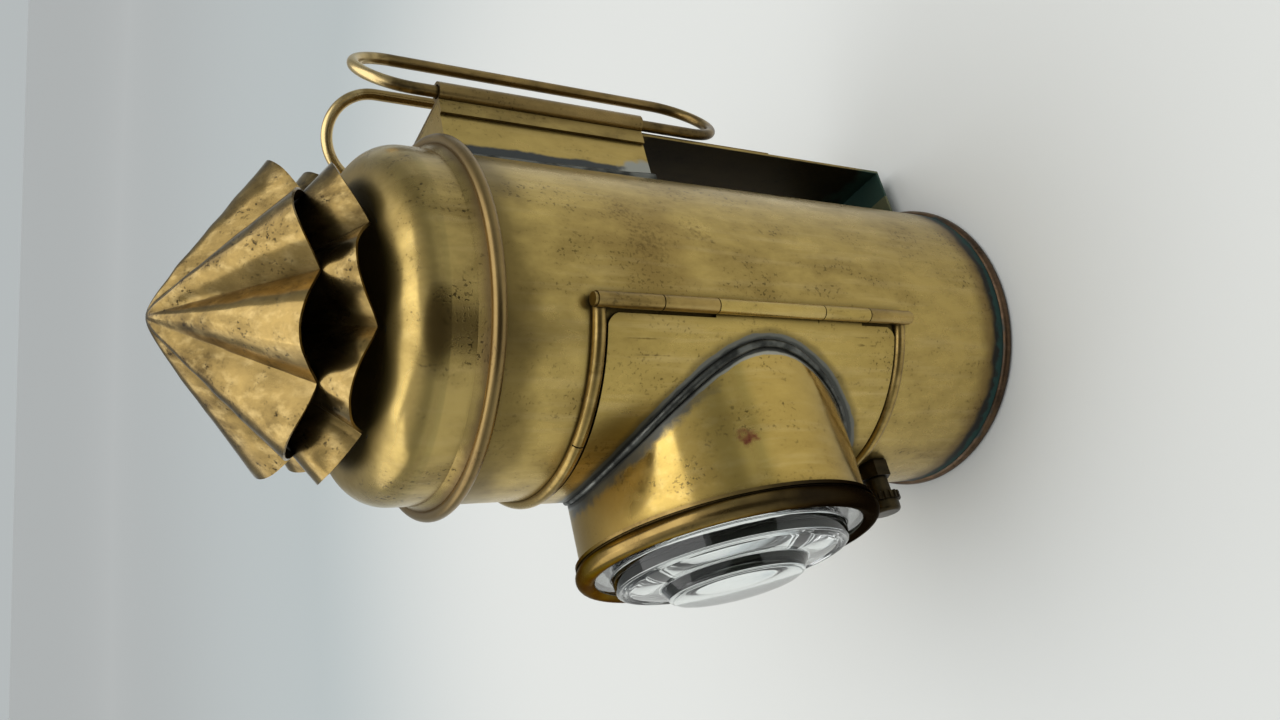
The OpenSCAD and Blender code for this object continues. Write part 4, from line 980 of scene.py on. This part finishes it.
def pale_floor():
    """Wide pale disc below the lantern."""
    mesh = bpy.data.meshes.new("pale_floor")
    shape = bmesh.new()
    bmesh.ops.create_circle(shape, cap_ends=True, segments=96, radius=FLOOR_RADIUS)
    shape.to_mesh(mesh)
    shape.free()
    floor = bpy.data.objects.new("pale_floor", mesh)
    bpy.context.scene.collection.objects.link(floor)
    material, tree, shader, place = new_material("pale_painted_table")
    reach = add_node(tree, "VectorMath", {"operation": "LENGTH"}, {0: place})
    far = add_node(tree, "MapRange",
                   {"interpolation_type": "SMOOTHSTEP", "From Min": NEAR_FLOOR, "From Max": FAR_FLOOR},
                   {"Value": reach.outputs["Value"]})
    colour = add_node(tree, "Mix",
                      {"data_type": "RGBA", 6: linear("#d8d9d6"), 7: linear("#b8bfc0")}, {0: far.outputs[0]})
    distant = add_node(tree, "MapRange", {"From Min": FAR_FLOOR, "From Max": PALE_FLOOR},
                       {"Value": reach.outputs["Value"]})
    paler = add_node(tree, "Mix", {"data_type": "RGBA", 7: linear("#f0f2f2")},
                     {0: distant.outputs[0], 6: colour.outputs[2]})
    shader.inputs["Roughness"].default_value = 0.6
    feed(shader, {"Base Color": paler.outputs[2]})
    mesh.materials.append(material)


pale_floor()
print("floor radius in m:", FLOOR_RADIUS)

# %% [markdown]
# The light is a large soft panel above the table, as from a bright ceiling, a weaker one on the lens's side,
# as from a window, and a pale room all round.
# Metal shows what is around it, so the room is pale behind the table, darker above that and bright overhead.

# %% Light
PANEL_SIZE = 1.8
PANEL_PLACE = (0.0, 0.15, 1.35)
PANEL_WATTS = 15.8
WINDOW_SIZE = 0.9
WINDOW_PLACE = (-0.75, -0.75, 0.85)
WINDOW_WATTS = 3.2
ROOM_STRENGTH = 0.75


def soft_panel(name, size, place, watts):
    """Square soft light that faces the lantern."""
    data = bpy.data.lights.new(name, "AREA")
    data.shape = "SQUARE"
    data.size = size
    data.energy = watts
    panel = bpy.data.objects.new(name, data)
    panel.location = place
    panel.rotation_euler = Vector(place).to_track_quat("Z", "Y").to_euler()
    bpy.context.scene.collection.objects.link(panel)
    print(name, "of", size, "m at", place, "with", watts, "W")


def pale_room():
    """World that is pale all round."""
    world = bpy.data.worlds.new("pale_room")
    bpy.context.scene.world = world
    world.use_nodes = True
    tree = world.node_tree
    tree.nodes.clear()
    way = add_node(tree, "TexCoord").outputs["Generated"]
    parts = add_node(tree, "SeparateXYZ", links={0: way})
    low = add_node(tree, "MapRange", {"From Min": 0.05, "From Max": 0.2},
                   {"Value": parts.outputs["Z"]})
    wall = add_node(tree, "Mix",
                    {"data_type": "RGBA", 6: linear("#ced4d5"), 7: linear("#a6abab")}, {0: low.outputs[0]})
    high = add_node(tree, "MapRange",
                    {"interpolation_type": "SMOOTHSTEP", "From Min": 0.3, "From Max": 0.75},
                    {"Value": parts.outputs["Z"]})
    colour = add_node(tree, "Mix", {"data_type": "RGBA", 7: linear("#e2e4e4")},
                      {0: high.outputs[0], 6: wall.outputs[2]})
    room = add_node(tree, "Background", {"Strength": ROOM_STRENGTH}, {"Color": colour.outputs[2]})
    add_node(tree, "OutputWorld", links={"Surface": room.outputs[0]})


soft_panel("ceiling_panel", PANEL_SIZE, PANEL_PLACE, PANEL_WATTS)
soft_panel("window_panel", WINDOW_SIZE, WINDOW_PLACE, WINDOW_WATTS)
pale_room()
bpy.context.scene.view_settings.view_transform = "Standard"

# %% [markdown]
# Polished brass that faces the camera goes dark, because it shows what is behind the camera.
# A dark upright board takes that place. It shows in metal and glass alone, and casts no shadow.

# %% Board behind the camera
BOARD_AWAY = 0.33
BOARD_WIDTH = 0.28
BOARD_HEIGHT = 0.46
CLOTH_PATCH = 60 * MM


def dark_board():
    """Upright oval board that faces the lantern."""
    shape = bmesh.new()
    bmesh.ops.create_circle(shape, cap_ends=True, segments=48, radius=0.5)
    bmesh.ops.scale(shape, vec=(BOARD_WIDTH, BOARD_HEIGHT, 1), verts=shape.verts)
    bmesh.ops.rotate(shape, cent=(0, 0, 0), matrix=Matrix.Rotation(math.pi / 2, 3, "X"), verts=shape.verts)
    bmesh.ops.translate(shape, vec=(0, -BOARD_AWAY, BOARD_HEIGHT / 2), verts=shape.verts)
    bmesh.ops.rotate(shape, cent=(0, 0, 0), matrix=Matrix.Rotation(CAMERA_AZIMUTH, 3, "Z"),
                     verts=shape.verts)
    mesh = bpy.data.meshes.new("dark_board")
    shape.to_mesh(mesh)
    shape.free()
    material, tree, shader, place = new_material("dark_cloth")
    cloth = add_node(tree, "TexNoise", {"Scale": 1 / CLOTH_PATCH, "Detail": 3}, {"Vector": place})
    colour = add_node(tree, "Mix",
                      {"data_type": "RGBA", 6: linear("#2b2722"), 7: linear("#4a443c")},
                      {0: cloth.outputs["Fac"]})
    shader.inputs["Roughness"].default_value = 0.9
    feed(shader, {"Base Color": colour.outputs[2]})
    mesh.materials.append(material)
    board = bpy.data.objects.new("dark_board", mesh)
    bpy.context.scene.collection.objects.link(board)
    board.visible_camera = False
    board.visible_diffuse = False
    board.visible_shadow = False


dark_board()
print("board", BOARD_WIDTH, "by", BOARD_HEIGHT, "m,", BOARD_AWAY, "m from the axis")
